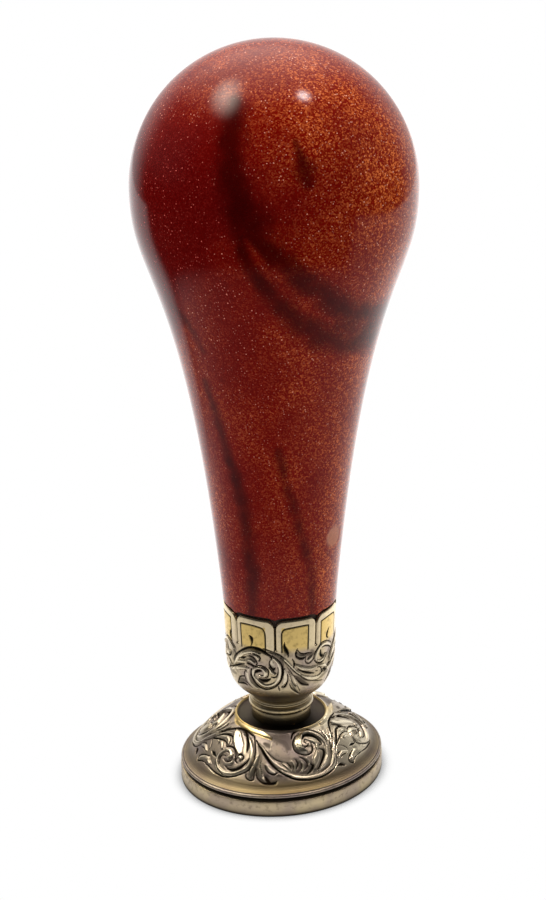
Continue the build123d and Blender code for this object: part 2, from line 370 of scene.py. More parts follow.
CUP_WORK["cuts"] = [
    # black arch over the volute, thickest past its top: a cut darkened as painted shadow
    ((0.06, 0.15, 0.2, 0.23, 0.32, 0.3, 0.18, 0.08), [(-57, 7.0), (-52, 7.62), (-47.5, 8.05), (-42, 8.53),
     (-36.5, 8.92), (-31, 9.13), (-26, 9.13), (-21.5, 9.05), (-17.5, 8.85), (-14, 8.62), (-10.5, 8.36),
     (-9, 8.0)]),
    ((0.1, 0.09, 0.08, 0.1, 0.1, 0.06), [(-18, 9.25), (-12.5, 9.1), (-7, 8.88), (-2.5, 8.65), (1.2, 8.35),
     (3.5, 8.0)]),
    ((0.06, 0.08, 0.06), [(-14, 8.9), (-7, 8.68), (-2, 8.4), (1, 8.0)]),
    # edge of the volute's ring, outside
    ((0.06, 0.12, 0.2, 0.17, 0.1, 0.12, 0.2, 0.2, 0.14), [(-9, 8.42), (-4.6, 8.05), (-1.0, 7.55),
     (1.2, 7.0), (1.9, 6.4), (1.3, 5.8), (0.1, 5.1), (-2.2, 4.6), (-6, 4.12), (-10.5, 3.82), (-15.5, 3.62),
     (-20.5, 3.68), (-26, 3.95), (-30, 4.4), (-32.6, 5.0), (-33.2, 5.6), (-32.4, 6.2)]),
    # notch that ends in a dark drop
    ((0.06, 0.1, 0.2, 0.1), [(-10.6, 7.9), (-12, 7.3), (-10.6, 6.85), (-7.4, 6.58), (-6.2, 6.8)]),
    ((0.05, 0.09, 0.1, 0.06), [(-3.1, 6.9), (-2.8, 6.2), (-4.4, 5.66), (-7.4, 5.46), (-10.4, 5.54)]),
    # spiral and its two dark eyes
    ((0.12, 0.17, 0.09, 0.09, 0.1, 0.09, 0.06), [(-37.5, 6.86), (-32.6, 6.78), (-28.5, 6.66), (-24.5, 6.8),
     (-20.5, 6.9), (-16.5, 6.76), (-13.8, 6.4), (-13.1, 5.9), (-14.2, 5.5), (-16, 5.25)]),
    ((0.05, 0.22, 0.2, 0.05), [(-29, 5.7), (-26.5, 6.02), (-23.6, 6.18), (-20.6, 6.22)]),
    ((0.05, 0.09, 0.06), [(-28.4, 5.8), (-28.9, 5.4), (-27.2, 5.05)]),
    ((0.1, 0.3, 0.32, 0.22, 0.05), [(-23.8, 5.06), (-20, 4.86), (-16.5, 4.92), (-13.2, 5.06),
     (-10.8, 5.26)]),
    # lobes
    ((0.05, 0.17, 0.06), [(-48, 7.22), (-43, 7.4), (-38.6, 7.66)]),
    ((0.03, 0.05, 0.06), [(-42, 7.85), (-37, 8.1), (-32.5, 8.3)]),
    ((0.06, 0.13, 0.13, 0.1), [(-34.5, 7.92), (-30.5, 7.86), (-27.2, 7.56), (-25.5, 7.15), (-26.2, 6.95)]),
    ((0.05, 0.12, 0.13, 0.12), [(-30, 8.38), (-25.6, 8.36), (-22.8, 8.16), (-21.8, 7.86), (-23, 7.55)]),
    # leaf at the left
    ((0.05, 0.12, 0.18, 0.05), [(-69, 5.1), (-61, 5.52), (-54, 5.92), (-47, 6.35), (-41.5, 6.6)]),
    ((0.05, 0.1, 0.1), [(-37, 5.62), (-40.2, 5.74), (-42.4, 5.34), (-42.8, 4.95), (-41.6, 4.4)]),
    ((0.06, 0.13, 0.12), [(-42.8, 4.86), (-47, 4.66), (-51, 4.4), (-53.4, 4.0), (-56, 3.55), (-59, 3.1)]),
    ((0.06, 0.2, 0.12), [(-58, 3.14), (-51, 3.5), (-45, 3.72), (-41, 3.62)]),
    ((0.05, 0.1, 0.06), [(-41.5, 4.3), (-38.5, 3.85), (-34, 3.45)]),
    # flames and comma over the stem
    ((0.04, 0.2, 0.34, 0.2, 0.05), [(4.2, 10.2), (4.0, 9.7), (5.6, 9.15), (7.4, 8.7), (7.8, 8.25)]),
    ((0.05, 0.16, 0.06), [(12.0, 7.92), (13.9, 7.45), (14.1, 6.98), (13.0, 6.86)]),
    ((0.04, 0.3, 0.14, 0.05), [(-33.5, 10.7), (-30.8, 10.4), (-30.5, 9.8), (-32, 9.3)]),
    ((0.04, 0.24, 0.2, 0.05), [(60, 10.6), (57.2, 10.0), (56.4, 9.55), (59, 9.2)]),
    # crisp line down the stem, and the leaf under it
    ((0.06, 0.09, 0.08, 0.08, 0.09, 0.1, 0.1, 0.08, 0.06), [(2, 7.9), (5.7, 7.42), (9.5, 6.88),
     (13.2, 6.34), (17.6, 5.8), (21, 5.45), (24.5, 5.0), (29, 4.62), (34, 4.42), (40, 4.18), (46, 3.9),
     (53, 3.68)]),
    ((0.04, 0.16, 0.2, 0.1), [(16, 5.2), (19.5, 4.66), (24, 4.18), (32, 3.76)]),
    ((0.04, 0.06, 0.05), [(6.5, 6.9), (9.5, 6.4), (13, 5.7), (16.5, 5.0)]),
    ((0.04, 0.08, 0.08), [(7.6, 6.3), (9.8, 5.64), (11.5, 5.0), (13.6, 4.44), (16.5, 4.0)]),
    ((0.05, 0.11, 0.14, 0.06), [(9.2, 4.5), (11, 3.9), (14.3, 3.46), (18, 3.05), (21.5, 2.66)]),
    ((0.04, 0.07, 0.07), [(17, 4.5), (19.6, 3.75), (21.3, 3.25)]),
    ((0.06, 0.1, 0.16, 0.08), [(6.8, 5.9), (7.4, 5.16), (6.3, 4.6), (3.7, 4.08), (0.6, 4.06)]),
    ((0.05, 0.13, 0.05), [(-2.9, 4.2), (-2.4, 3.82), (-1.5, 3.5)]),
    # hook leaf with its lobe
    ((0.06, 0.15, 0.17, 0.12), [(17.4, 9.2), (15.8, 8.66), (16.5, 8.16), (19.7, 7.86), (23.2, 7.76),
     (26.2, 7.95)]),
    ((0.06, 0.11, 0.09, 0.05), [(17.8, 9.0), (20.6, 8.54), (25, 8.36), (30, 8.36), (35, 8.2)]),
    ((0.06, 0.1, 0.09, 0.06), [(27, 7.9), (26.4, 7.38), (28.3, 7.0), (31.6, 6.94), (34.8, 7.18),
     (37.5, 7.5)]),
    # second volute
    ((0.05, 0.08, 0.09, 0.09, 0.08), [(37.6, 7.2), (37.9, 7.8), (39.8, 8.32), (43.4, 8.78), (48, 9.04),
     (54, 9.02), (60, 8.74), (66, 8.3)]),
    ((0.05, 0.1, 0.1, 0.06), [(48.5, 8.4), (52, 8.42), (57, 8.22), (62.5, 7.9), (66, 7.5)]),
    ((0.12, 0.26, 0.24, 0.1), [(46.4, 8.1), (46.4, 7.6), (48, 7.3), (50.5, 7.25)]),
    ((0.08, 0.12, 0.16, 0.14), [(38, 7.05), (40.7, 6.66), (45, 6.42), (50, 6.48), (54.2, 6.84), (56, 7.3)]),
    # spindle and the small scroll
    ((0.03, 0.13, 0.19, 0.17, 0.05), [(17.6, 6.48), (22, 6.12), (27, 5.8), (32.5, 5.55), (38, 5.32)]),
    ((0.04, 0.08, 0.04), [(39, 5.62), (41, 5.52), (43, 5.44)]),
    ((0.04, 0.09, 0.13, 0.1), [(42, 5.96), (46, 5.88), (48.3, 5.56), (49.8, 5.2), (49.2, 4.8)]),
    ((0.06, 0.16, 0.06), [(51, 5.45), (53.5, 5.3), (56.5, 5.1)]),
]
CUP_WORK["shades"] = [
    # dark shades along the stems and in the hollows: partly painted shadow, partly fine hatching
    (0.8, (0.3, 0.34, 0.2), [(-58.5, 6.5), (-55, 7.2), (-50, 7.8)]),
    (0.45, (0.3, 0.4, 0.3), [(-62, 7.0), (-58, 7.6), (-54, 8.1)]),
    (0.6, (0.1, 0.3, 0.36, 0.3, 0.2), [(-13, 8.9), (-6, 8.55), (-0.5, 8.1), (1.6, 7.3), (1.8, 6.3)]),
    (0.55, (0.1, 0.25, 0.2), [(-38, 7.75), (-33, 7.95), (-28, 8.3)]),
    (0.5, (0.2, 0.3, 0.2), [(-41, 7.2), (-36, 7.1), (-31, 6.85)]),
    (0.6, (0.1, 0.28, 0.28), [(-10.5, 7.3), (-8.6, 6.9), (-7, 6.75)]),
    (0.5, (0.12, 0.25, 0.3, 0.2), [(-34.5, 5.4), (-34.5, 4.8), (-32.5, 4.3), (-28, 3.9)]),
    (0.5, (0.1, 0.2, 0.28, 0.25, 0.1), [(-2, 4.7), (-6, 4.2), (-12, 3.9), (-19, 3.75), (-27, 3.9)]),
    (0.62, (0.2, 0.5, 0.4, 0.2), [(-57, 3.3), (-51, 3.95), (-45, 4.2), (-41, 4.0)]),
    (0.45, (0.1, 0.4, 0.3), [(-80, 4.2), (-68, 4.4), (-58, 4.6)]),
    (0.35, (0.2, 0.3, 0.1), [(-72, 5.2), (-60, 5.8), (-48, 6.5)]),
    (0.72, (0.05, 0.3, 0.4, 0.3, 0.1), [(13.5, 5.7), (17.5, 5.3), (21.5, 4.85), (26, 4.4), (32, 3.9)]),
    (0.6, (0.06, 0.22, 0.26, 0.1), [(10.5, 5.0), (13, 4.3), (16, 3.6), (20, 2.95)]),
    (0.4, (0.05, 0.12, 0.2), [(4, 7.4), (8, 6.6), (12, 5.7)]),
    (0.6, (0.15, 0.26, 0.24, 0.3, 0.3), [(16.6, 8.6), (19, 8.2), (24, 8.1), (31, 8.1), (37, 8.0)]),
    (0.45, (0.3, 0.4, 0.3), [(34, 8.5), (37, 8.0), (37, 7.4)]),
    (0.5, (0.2, 0.4, 0.3), [(46.5, 7.7), (50, 7.2), (54, 7.0)]),
    (0.4, (0.3, 0.3, 0.3), [(5, 9.4), (5.5, 8.9), (4.5, 8.5)]),
    (0.45, (0.1, 0.3, 0.3, 0.1), [(46, 5.4), (51, 5.2), (56, 4.9), (60, 4.4)]),
    (0.3, (0.3, 0.5, 0.3), [(58, 6.6), (63, 6.0), (66, 5.0)]),
]

# The dome's scroll, its points as degrees from the facing side and share from crown to foot; a facet
# is high on the right of its line, so that the rest of the leaf faces up
DOME_WORK = {kind: [] for kind in RATES}
DOME_WORK["bodies"] = [
    # stem from the left over the first volute
    ((0.08, 0.16, 0.16, 0.08), [(-69, 0.43), (-64, 0.33), (-59.5, 0.262), (-54, 0.235)]),
    # ring of the first volute
    ((0.1, 0.18, 0.22, 0.24, 0.26, 0.28, 0.26, 0.24, 0.2), [(-41, 0.15), (-33, 0.205), (-28, 0.285),
     (-25, 0.37), (-22.7, 0.48), (-21.9, 0.58), (-23, 0.69), (-26.5, 0.765), (-31.5, 0.83), (-38, 0.86),
     (-44, 0.83), (-48.5, 0.75), (-50, 0.66), (-49, 0.57), (-46.5, 0.5)]),
    # eye with its hook and the small curl
    ((0.12, 0.24, 0.3, 0.2), [(-47.5, 0.5), (-42.5, 0.5), (-39.5, 0.56), (-41.0, 0.62)]),
    ((0.14, 0.22, 0.2), [(-32.6, 0.545), (-31, 0.54), (-30.2, 0.58)]),
    ((0.1, 0.22, 0.14), [(-36, 0.6), (-36.2, 0.68), (-41, 0.72)]),
    # leaves at the left of the volute
    ((0.08, 0.26, 0.24, 0.1), [(-68, 0.46), (-62, 0.375), (-56, 0.335), (-51, 0.355), (-48.3, 0.42)]),
    ((0.1, 0.26, 0.16), [(-62, 0.46), (-55.5, 0.455), (-51.5, 0.52)]),
    ((0.1, 0.3, 0.3, 0.12), [(-66, 0.88), (-63.5, 0.81), (-58, 0.78), (-53, 0.82)]),
    # stem down to the right, its ridge, and the hanging leaves
    ((0.1, 0.24, 0.2, 0.16, 0.16), [(-22.5, 0.245), (-17, 0.32), (-11.5, 0.42), (-6, 0.53), (-0.5, 0.625),
     (6, 0.71)]),
    ((0.12, 0.3, 0.28, 0.12), [(-17, 0.46), (-17.8, 0.6), (-18.8, 0.74), (-18.8, 0.85)]),
    ((0.1, 0.24, 0.24, 0.14), [(-14, 0.56), (-12.8, 0.69), (-11.2, 0.79), (-7.6, 0.875)]),
    ((0.08, 0.22, 0.1), [(-9.6, 0.6), (-6.5, 0.68), (-3, 0.735)]),
    # ribbon under the second volute and up its right side
    ((0.14, 0.26, 0.28, 0.28, 0.24, 0.22, 0.16), [(0, 0.69), (8, 0.79), (16, 0.85), (25, 0.865),
     (33, 0.835), (38.5, 0.765), (42, 0.67), (45, 0.56), (49, 0.44), (52, 0.35)]),
    ((0.08, 0.16, 0.18, 0.16, 0.06), [(45, 0.53), (48.5, 0.405), (51.5, 0.3), (54.6, 0.21), (56.4, 0.16)]),
    ((0.08, 0.18, 0.18, 0.08), [(42.6, 0.52), (45.3, 0.4), (47, 0.3), (47.2, 0.2), (46.2, 0.13)]),
    # ring of the second volute and its inner leaf
    ((0.12, 0.2, 0.24, 0.24, 0.24, 0.2, 0.14), [(20, 0.068), (27, 0.06), (33.5, 0.092), (38, 0.165),
     (40.7, 0.27), (41.6, 0.39), (40.2, 0.5), (37.5, 0.62), (33, 0.72), (28, 0.785)]),
    ((0.12, 0.4, 0.46, 0.3, 0.1), [(30.5, 0.46), (30, 0.53), (28, 0.6), (26, 0.68), (24, 0.74)]),
    # leaves under its head
    ((0.06, 0.2, 0.1), [(3, 0.6), (6, 0.66), (9, 0.73)]),
    ((0.06, 0.2, 0.1), [(9, 0.56), (11.2, 0.65), (11, 0.74)]),
    ((0.06, 0.2, 0.1), [(15, 0.56), (17.5, 0.65), (15.5, 0.75)]),
    ((0.06, 0.16, 0.08), [(20.5, 0.54), (22.2, 0.62), (21, 0.68)]),
    # comma inside the head
    ((0.06, 0.26, 0.3, 0.2), [(25, 0.205), (30, 0.255), (33.5, 0.33), (32, 0.42)]),
    # curl right of the second volute
    ((0.1, 0.24, 0.12), [(45.5, 0.7), (50, 0.67), (55, 0.7)]),
]
DOME_WORK["facets"] = [
    (0.14, (0.06, 0.5, 0.62, 0.62, 0.3), [(-53.4, 0.14), (-48.5, 0.21), (-43, 0.29), (-38, 0.37),
     (-33, 0.48)]),
    (0.25, (0.1, 0.3, 0.34, 0.32, 0.14), [(-10, 0.145), (-16, 0.1), (-21.5, 0.07), (-27, 0.055),
     (-32, 0.05), (-40, 0.045), (-50, 0.045), (-66, 0.045)]),
    (0.36, (0.2, 0.42, 0.5, 0.4, 0.1), [(21.5, 0.44), (17.4, 0.37), (16.4, 0.25), (18.6, 0.14),
     (24, 0.08)]),
]
DOME_WORK["rubs_and_highlights"] = [
    # almond leaf, the second volute's head and its inner comma: rubbed bright, and painted as highlights
    (1.0, (0.06, 0.6, 0.75, 0.7, 0.3), [(-53, 0.15), (-48, 0.2), (-42.5, 0.28), (-37.5, 0.36),
     (-33.5, 0.46)]),
    (1.0, (0.1, 0.5, 0.6, 0.5, 0.2), [(24, 0.08), (18.6, 0.14), (16.4, 0.25), (17.4, 0.37), (21, 0.43)]),
    (0.9, (0.06, 0.3, 0.36, 0.2), [(25, 0.205), (30, 0.255), (33.5, 0.33), (32, 0.42)]),
    # rings, stem ridge, leaves
    (0.8, (0.05, 0.22, 0.26, 0.1), [(-37, 0.18), (-29.5, 0.26), (-25.6, 0.36), (-23.6, 0.47)]),
    (0.55, (0.1, 0.24, 0.24, 0.2, 0.1), [(20, 0.066), (27, 0.06), (34, 0.1), (39, 0.2), (41.3, 0.36)]),
    (0.6, (0.05, 0.1, 0.1, 0.05), [(-11, 0.42), (-5.5, 0.51), (-0.3, 0.61), (4, 0.67)]),
    (0.6, (0.06, 0.16, 0.1), [(-9.2, 0.61), (-6.3, 0.67), (-3, 0.72)]),
    (0.5, (0.1, 0.4, 0.2), [(30, 0.5), (28.4, 0.58), (26.4, 0.66)]),
    (0.7, (0.06, 0.14, 0.06), [(34.4, 0.4), (35.4, 0.42), (37.6, 0.42)]),
    (0.8, (0.03, 0.07, 0.03), [(-57, 0.878), (-50, 0.9), (-43.8, 0.925)]),
    (0.4, (0.05, 0.1, 0.05), [(-9, 0.2), (-9, 0.27), (-9, 0.34)]),
    # edge of the collar
    (0.35, (0.1, 0.34, 0.34, 0.2), [(-64, 0.03), (-40, 0.03), (-31, 0.04), (-22, 0.065), (-12, 0.13)]),
    (0.5, (0.08, 0.14, 0.14, 0.06), [(44, 0.56), (48.5, 0.405), (51.5, 0.3), (55, 0.2)]),
    (0.45, (0.1, 0.24, 0.2), [(5, 0.755), (14, 0.845), (24, 0.865)]),
]
DOME_WORK["gilds"] = [
    # the raised line of the collar
    (0.75, (0.1, 0.4, 0.42, 0.4, 0.14), [(-66, 0.06), (-50, 0.05), (-40, 0.05), (-32, 0.06), (-27, 0.07),
     (-21.5, 0.09), (-16, 0.115), (-10, 0.155)]),
    # the lip of the dish at the right
    (0.8, (0.1, 0.4, 0.45, 0.3), [(43, 0.03), (49, 0.03), (55, 0.045), (60, 0.06)]),
]
DOME_WORK["cuts"] = [
    # dark band under the collar, over the first volute
    ((0.05, 0.12, 0.16, 0.2, 0.2, 0.16, 0.1), [(-70.5, 0.37), (-66, 0.29), (-62, 0.21), (-57.5, 0.14),
     (-52, 0.104), (-45, 0.092), (-38, 0.104), (-31, 0.135)]),
    # dark slit between the almond leaf and the ring, darkened as painted shadow, and the ring's outer edge
    ((0.1, 0.2, 0.22, 0.2, 0.16, 0.04), [(-44, 0.105), (-38.5, 0.15), (-34, 0.22), (-31, 0.3), (-29, 0.38),
     (-28, 0.45)]),
    ((0.06, 0.08, 0.09, 0.11, 0.12, 0.1, 0.1, 0.14, 0.12, 0.06), [(-29.5, 0.135), (-25.7, 0.23),
     (-23, 0.32), (-21, 0.405), (-20, 0.5), (-19.5, 0.6), (-20.2, 0.68), (-22.4, 0.745), (-26.3, 0.81),
     (-30.5, 0.865), (-36, 0.905), (-41.5, 0.905), (-47, 0.89), (-52.5, 0.865), (-59, 0.855)]),
    # dark crescent inside the ring: painted shadow
    ((0.05, 0.14, 0.24, 0.24, 0.14, 0.05), [(-23.7, 0.53), (-24.8, 0.6), (-26.8, 0.67), (-29.6, 0.735),
     (-33, 0.772), (-37, 0.775), (-40, 0.745)]),
    # lower edge of the almond leaf and its vein
    ((0.05, 0.09, 0.08, 0.06), [(-55, 0.17), (-51.4, 0.245), (-48.4, 0.31), (-46.4, 0.375), (-46.2, 0.42)]),
    ((0.03, 0.06, 0.03), [(-46.5, 0.19), (-44.4, 0.225), (-43, 0.265)]),
    # eye: hook, curl and inner lines
    ((0.08, 0.13, 0.13, 0.11, 0.1, 0.06), [(-49.5, 0.465), (-46, 0.44), (-42.6, 0.434), (-39, 0.465),
     (-36.6, 0.52), (-35.3, 0.575), (-33.8, 0.625), (-31.5, 0.652)]),
    ((0.06, 0.1, 0.06), [(-37.3, 0.59), (-37.5, 0.635), (-39.3, 0.666), (-42, 0.676), (-44, 0.655)]),
    ((0.06, 0.1, 0.08, 0.05), [(-44.5, 0.6), (-47.3, 0.615), (-47.9, 0.66), (-47.2, 0.7), (-45.5, 0.76)]),
    ((0.05, 0.09, 0.09, 0.06), [(-33.8, 0.6), (-33.9, 0.54), (-31.8, 0.502), (-29.1, 0.525), (-28.8, 0.575),
     (-30.8, 0.593)]),
    ((0.04, 0.06, 0.04), [(-46.5, 0.53), (-43, 0.53), (-41.2, 0.57)]),
    ((0.05, 0.1, 0.12, 0.1), [(-52.2, 0.64), (-50.3, 0.72), (-47, 0.79), (-43, 0.845), (-38.5, 0.88)]),
    ((0.03, 0.06, 0.04), [(-27, 0.83), (-33, 0.878), (-39, 0.882)]),
    # leaves at the left
    ((0.05, 0.1, 0.17, 0.18, 0.14, 0.1, 0.06), [(-75, 0.62), (-71, 0.52), (-66, 0.41), (-61.4, 0.332),
     (-57, 0.288), (-52.3, 0.28), (-48.6, 0.314), (-46.6, 0.365)]),
    ((0.1, 0.16, 0.12, 0.1, 0.08), [(-69.8, 0.5), (-65, 0.457), (-60.6, 0.42), (-56.5, 0.403), (-52, 0.415),
     (-49.6, 0.455)]),
    ((0.04, 0.08, 0.05), [(-60, 0.43), (-58.5, 0.47), (-59.5, 0.5)]),
    ((0.1, 0.3, 0.1), [(-59, 0.65), (-55.8, 0.66), (-52.4, 0.68)]),
    ((0.05, 0.13, 0.12, 0.16, 0.14), [(-58, 0.73), (-63.5, 0.765), (-67.2, 0.815), (-67.6, 0.87),
     (-66, 0.915)]),
    ((0.14, 0.1, 0.05), [(-65.8, 0.91), (-62, 0.865), (-57, 0.85)]),
    # stem: crisp upper line, dark lower band
    ((0.05, 0.07, 0.08, 0.06), [(-13, 0.35), (-10, 0.4), (-6.4, 0.46), (-2.8, 0.52), (2.2, 0.568)]),
    ((0.05, 0.18, 0.24, 0.26, 0.2, 0.14, 0.12), [(-25, 0.2), (-21, 0.27), (-17, 0.335), (-13.5, 0.41),
     (-9.5, 0.505), (-5.4, 0.6), (-1, 0.69), (3.2, 0.76), (8, 0.815)]),
    # hanging leaves
    ((0.05, 0.1, 0.12, 0.1, 0.05), [(-22.6, 0.77), (-21.7, 0.835), (-18.8, 0.872), (-16.3, 0.86),
     (-16.6, 0.77), (-16.6, 0.66)]),
    ((0.05, 0.1, 0.13, 0.2, 0.3, 0.12), [(-15.7, 0.68), (-15, 0.77), (-13.8, 0.83), (-11.6, 0.875),
     (-8.6, 0.905), (-5, 0.912), (-2, 0.9), (-1, 0.875)]),
    ((0.05, 0.09, 0.1, 0.06), [(-14.2, 0.53), (-13.6, 0.63), (-11.6, 0.74), (-10.2, 0.83)]),
    ((0.1, 0.28, 0.2), [(-8.8, 0.8), (-7.4, 0.85), (-5.2, 0.9)]),
    ((0.05, 0.09, 0.13, 0.17, 0.06), [(-10.4, 0.61), (-9.2, 0.68), (-6.6, 0.738), (-3.2, 0.766),
     (-0.8, 0.735)]),
    # second volute: top edge, ring's inner gap
    ((0.1, 0.17, 0.17, 0.12, 0.08, 0.07), [(10.6, 0.15), (12.6, 0.065), (17, 0.022), (23, 0.012),
     (29, 0.02), (35, 0.056), (40.2, 0.12), (43, 0.2), (44, 0.3), (43.9, 0.38)]),
    ((0.05, 0.22, 0.36, 0.28, 0.18, 0.14, 0.06), [(22.2, 0.185), (25, 0.128), (29.5, 0.13), (33.6, 0.17),
     (36.4, 0.235), (37.6, 0.31), (38, 0.38)]),
    # head's outline and eye
    ((0.08, 0.1, 0.1, 0.12, 0.12, 0.1, 0.06), [(15, 0.115), (12, 0.21), (11.6, 0.3), (12.6, 0.38),
     (15, 0.437), (19, 0.478), (23.2, 0.49), (26.8, 0.455), (28.5, 0.385), (28.3, 0.32)]),
    ((0.05, 0.12, 0.1, 0.05), [(18.6, 0.33), (21.4, 0.35), (24.4, 0.335), (26.4, 0.3)]),
    ((0.05, 0.1, 0.08), [(24.2, 0.2), (23, 0.245), (24, 0.275)]),
    ((0.03, 0.05, 0.03), [(15.2, 0.235), (15.6, 0.29), (17.4, 0.325)]),
    # crescent beside the inner leaf
    ((0.05, 0.2, 0.26, 0.22, 0.14, 0.05), [(33, 0.43), (36.4, 0.485), (36, 0.55), (33.8, 0.61), (31, 0.68),
     (28.4, 0.745), (26, 0.785)]),
    ((0.05, 0.1, 0.05), [(34.8, 0.35), (35.8, 0.385), (38.2, 0.385)]),
    # leaves under the head
    ((0.05, 0.11, 0.12, 0.05), [(15.5, 0.505), (18.6, 0.555), (20.4, 0.63), (19.8, 0.69), (17.4, 0.735)]),
    ((0.05, 0.2, 0.24, 0.08), [(22.4, 0.64), (24, 0.7), (22, 0.765), (19.2, 0.81)]),
    ((0.05, 0.14, 0.08), [(12.2, 0.53), (13.6, 0.62), (12, 0.69)]),
    ((0.05, 0.12, 0.05), [(5.4, 0.575), (7.8, 0.64), (8.2, 0.69)]),
    ((0.04, 0.08, 0.04), [(16, 0.62), (15.6, 0.7), (13.2, 0.77)]),
    ((0.04, 0.07, 0.04), [(9.6, 0.6), (10, 0.68), (9.4, 0.73)]),
    ((0.04, 0.08, 0.05), [(1.6, 0.585), (4.4, 0.64), (6, 0.7)]),
    # ribbon's edges
    ((0.06, 0.13, 0.17, 0.17, 0.14, 0.08, 0.06), [(-1, 0.675), (2, 0.738), (6.2, 0.808), (11.5, 0.864),
     (19, 0.904), (26, 0.911), (33, 0.888), (38.4, 0.845), (42, 0.77), (44.5, 0.68)]),
    ((0.03, 0.06, 0.07, 0.07, 0.06), [(14, 0.815), (22, 0.838), (30, 0.82), (36.5, 0.755), (40, 0.66),
     (43, 0.55), (46.5, 0.46), (50, 0.375), (56, 0.285)]),
    ((0.03, 0.05, 0.05), [(31, 0.85), (37.5, 0.79), (41.5, 0.7)]),
    ((0.04, 0.07, 0.08, 0.05), [(42.6, 0.6), (43.4, 0.5), (45.4, 0.4), (48.6, 0.33), (49.4, 0.25),
     (48.8, 0.16)]),
    ((0.03, 0.05, 0.05), [(44.2, 0.34), (45.4, 0.27), (45.2, 0.19)]),
    # leaf and curls at the right
    ((0.05, 0.09, 0.06), [(50.2, 0.515), (54.4, 0.572), (56.5, 0.63), (56.4, 0.69)]),
    ((0.06, 0.12, 0.06), [(45.2, 0.67), (47.8, 0.64), (50, 0.64)]),
    ((0.06, 0.12, 0.06), [(46.6, 0.735), (49.8, 0.708), (53.6, 0.722)]),
    ((0.1, 0.34, 0.16), [(42, 0.83), (44.6, 0.835), (47, 0.87)]),
]
DOME_WORK["shades"] = [
    # painted shadow in the hollows of the scroll, and a dark patch of matted ground last
    (0.72, (0.3, 0.34, 0.3, 0.2), [(-66, 0.24), (-57, 0.16), (-48, 0.13), (-41, 0.14)]),
    (0.55, (0.2, 0.34, 0.2), [(-60, 0.24), (-55, 0.215), (-52, 0.24)]),
    (0.5, (0.14, 0.24, 0.2), [(-64, 0.335), (-58.5, 0.33), (-55.5, 0.345)]),
    (0.45, (0.2, 0.3, 0.24), [(-62, 0.42), (-58, 0.45), (-58.5, 0.5)]),
    (0.6, (0.3, 0.44, 0.3), [(-15.5, 0.24), (-12.4, 0.265), (-9.6, 0.29)]),
    (0.5, (0.1, 0.3, 0.3, 0.2), [(-21, 0.3), (-16, 0.44), (-14.5, 0.56), (-14, 0.66)]),
    (0.5, (0.14, 0.24, 0.24, 0.14), [(-20.4, 0.6), (-21, 0.7), (-25, 0.785), (-31, 0.85)]),
    (0.4, (0.2, 0.34, 0.3), [(-46.6, 0.56), (-43, 0.585), (-40, 0.6)]),
    (0.35, (0.2, 0.4, 0.3), [(-45, 0.7), (-40, 0.73), (-34, 0.72)]),
    (0.5, (0.2, 0.34, 0.2), [(-57, 0.7), (-55, 0.75), (-58, 0.8)]),
    (0.45, (0.2, 0.44, 0.3), [(-64, 0.86), (-60, 0.81), (-54, 0.84)]),
    (0.45, (0.2, 0.34, 0.3, 0.2), [(-12, 0.84), (-9, 0.88), (-6, 0.92), (-3, 0.93)]),
    (0.5, (0.2, 0.4, 0.5, 0.3), [(7, 0.63), (13, 0.64), (18, 0.68), (21, 0.74)]),
    (0.4, (0.1, 0.3, 0.3, 0.2), [(8, 0.77), (17, 0.82), (27, 0.83), (35, 0.78)]),
    (0.6, (0.1, 0.24, 0.24, 0.1), [(20.6, 0.3), (23.4, 0.34), (27.6, 0.36), (27.6, 0.42)]),
    (0.45, (0.1, 0.2, 0.24, 0.2), [(42.4, 0.2), (43.6, 0.34), (43.4, 0.44), (41.4, 0.6)]),
    (0.5, (0.24, 0.4, 0.3), [(51, 0.14), (54, 0.06), (59, 0.01)]),
    (0.45, (0.14, 0.34, 0.3), [(49, 0.42), (54, 0.32), (60, 0.24)]),
    (0.35, (0.2, 0.4, 0.2), [(-28, 0.9), (-20, 0.91), (-13, 0.96)]),
    (0.5, (0.3, 0.55, 0.6, 0.4), [(-7, 0.13), (-2, 0.17), (4, 0.22), (7, 0.33)]),
]

# Matted ground between the stem and the second volute: soft dark strokes with a ragged foot
DOME_HATCH = [(-8, 0.2), (-5, 0.25), (-1.5, 0.23), (1.5, 0.29), (4.5, 0.4), (7.5, 0.36)]
for turn, end in DOME_HATCH:
    points = [(turn, 0.1), (turn + 0.6, 0.55 * end), (turn + 1.5, end)]
    DOME_WORK["shades"].append((0.4, (0.35, 0.55, 0.12), points))

# The lappets' lines: on every second lappet, and on the others, from the lappet's middle
LAPPET_LINES = [
    [(-15.8, 8.9), (-15.9, 10.4), (-15.9, 11.7), (-15, 12.02), (-3, 12.15), (8, 12), (11.4, 11.6),
     (12.4, 10.9), (12.4, 8.9)],
    [(-15.6, 8.9), (-15.8, 11), (-15, 11.6), (-12, 11.95), (0, 12.12), (11.4, 12.1), (12.5, 11.9),
     (12.5, 10.6), (12.4, 8.9)],
]

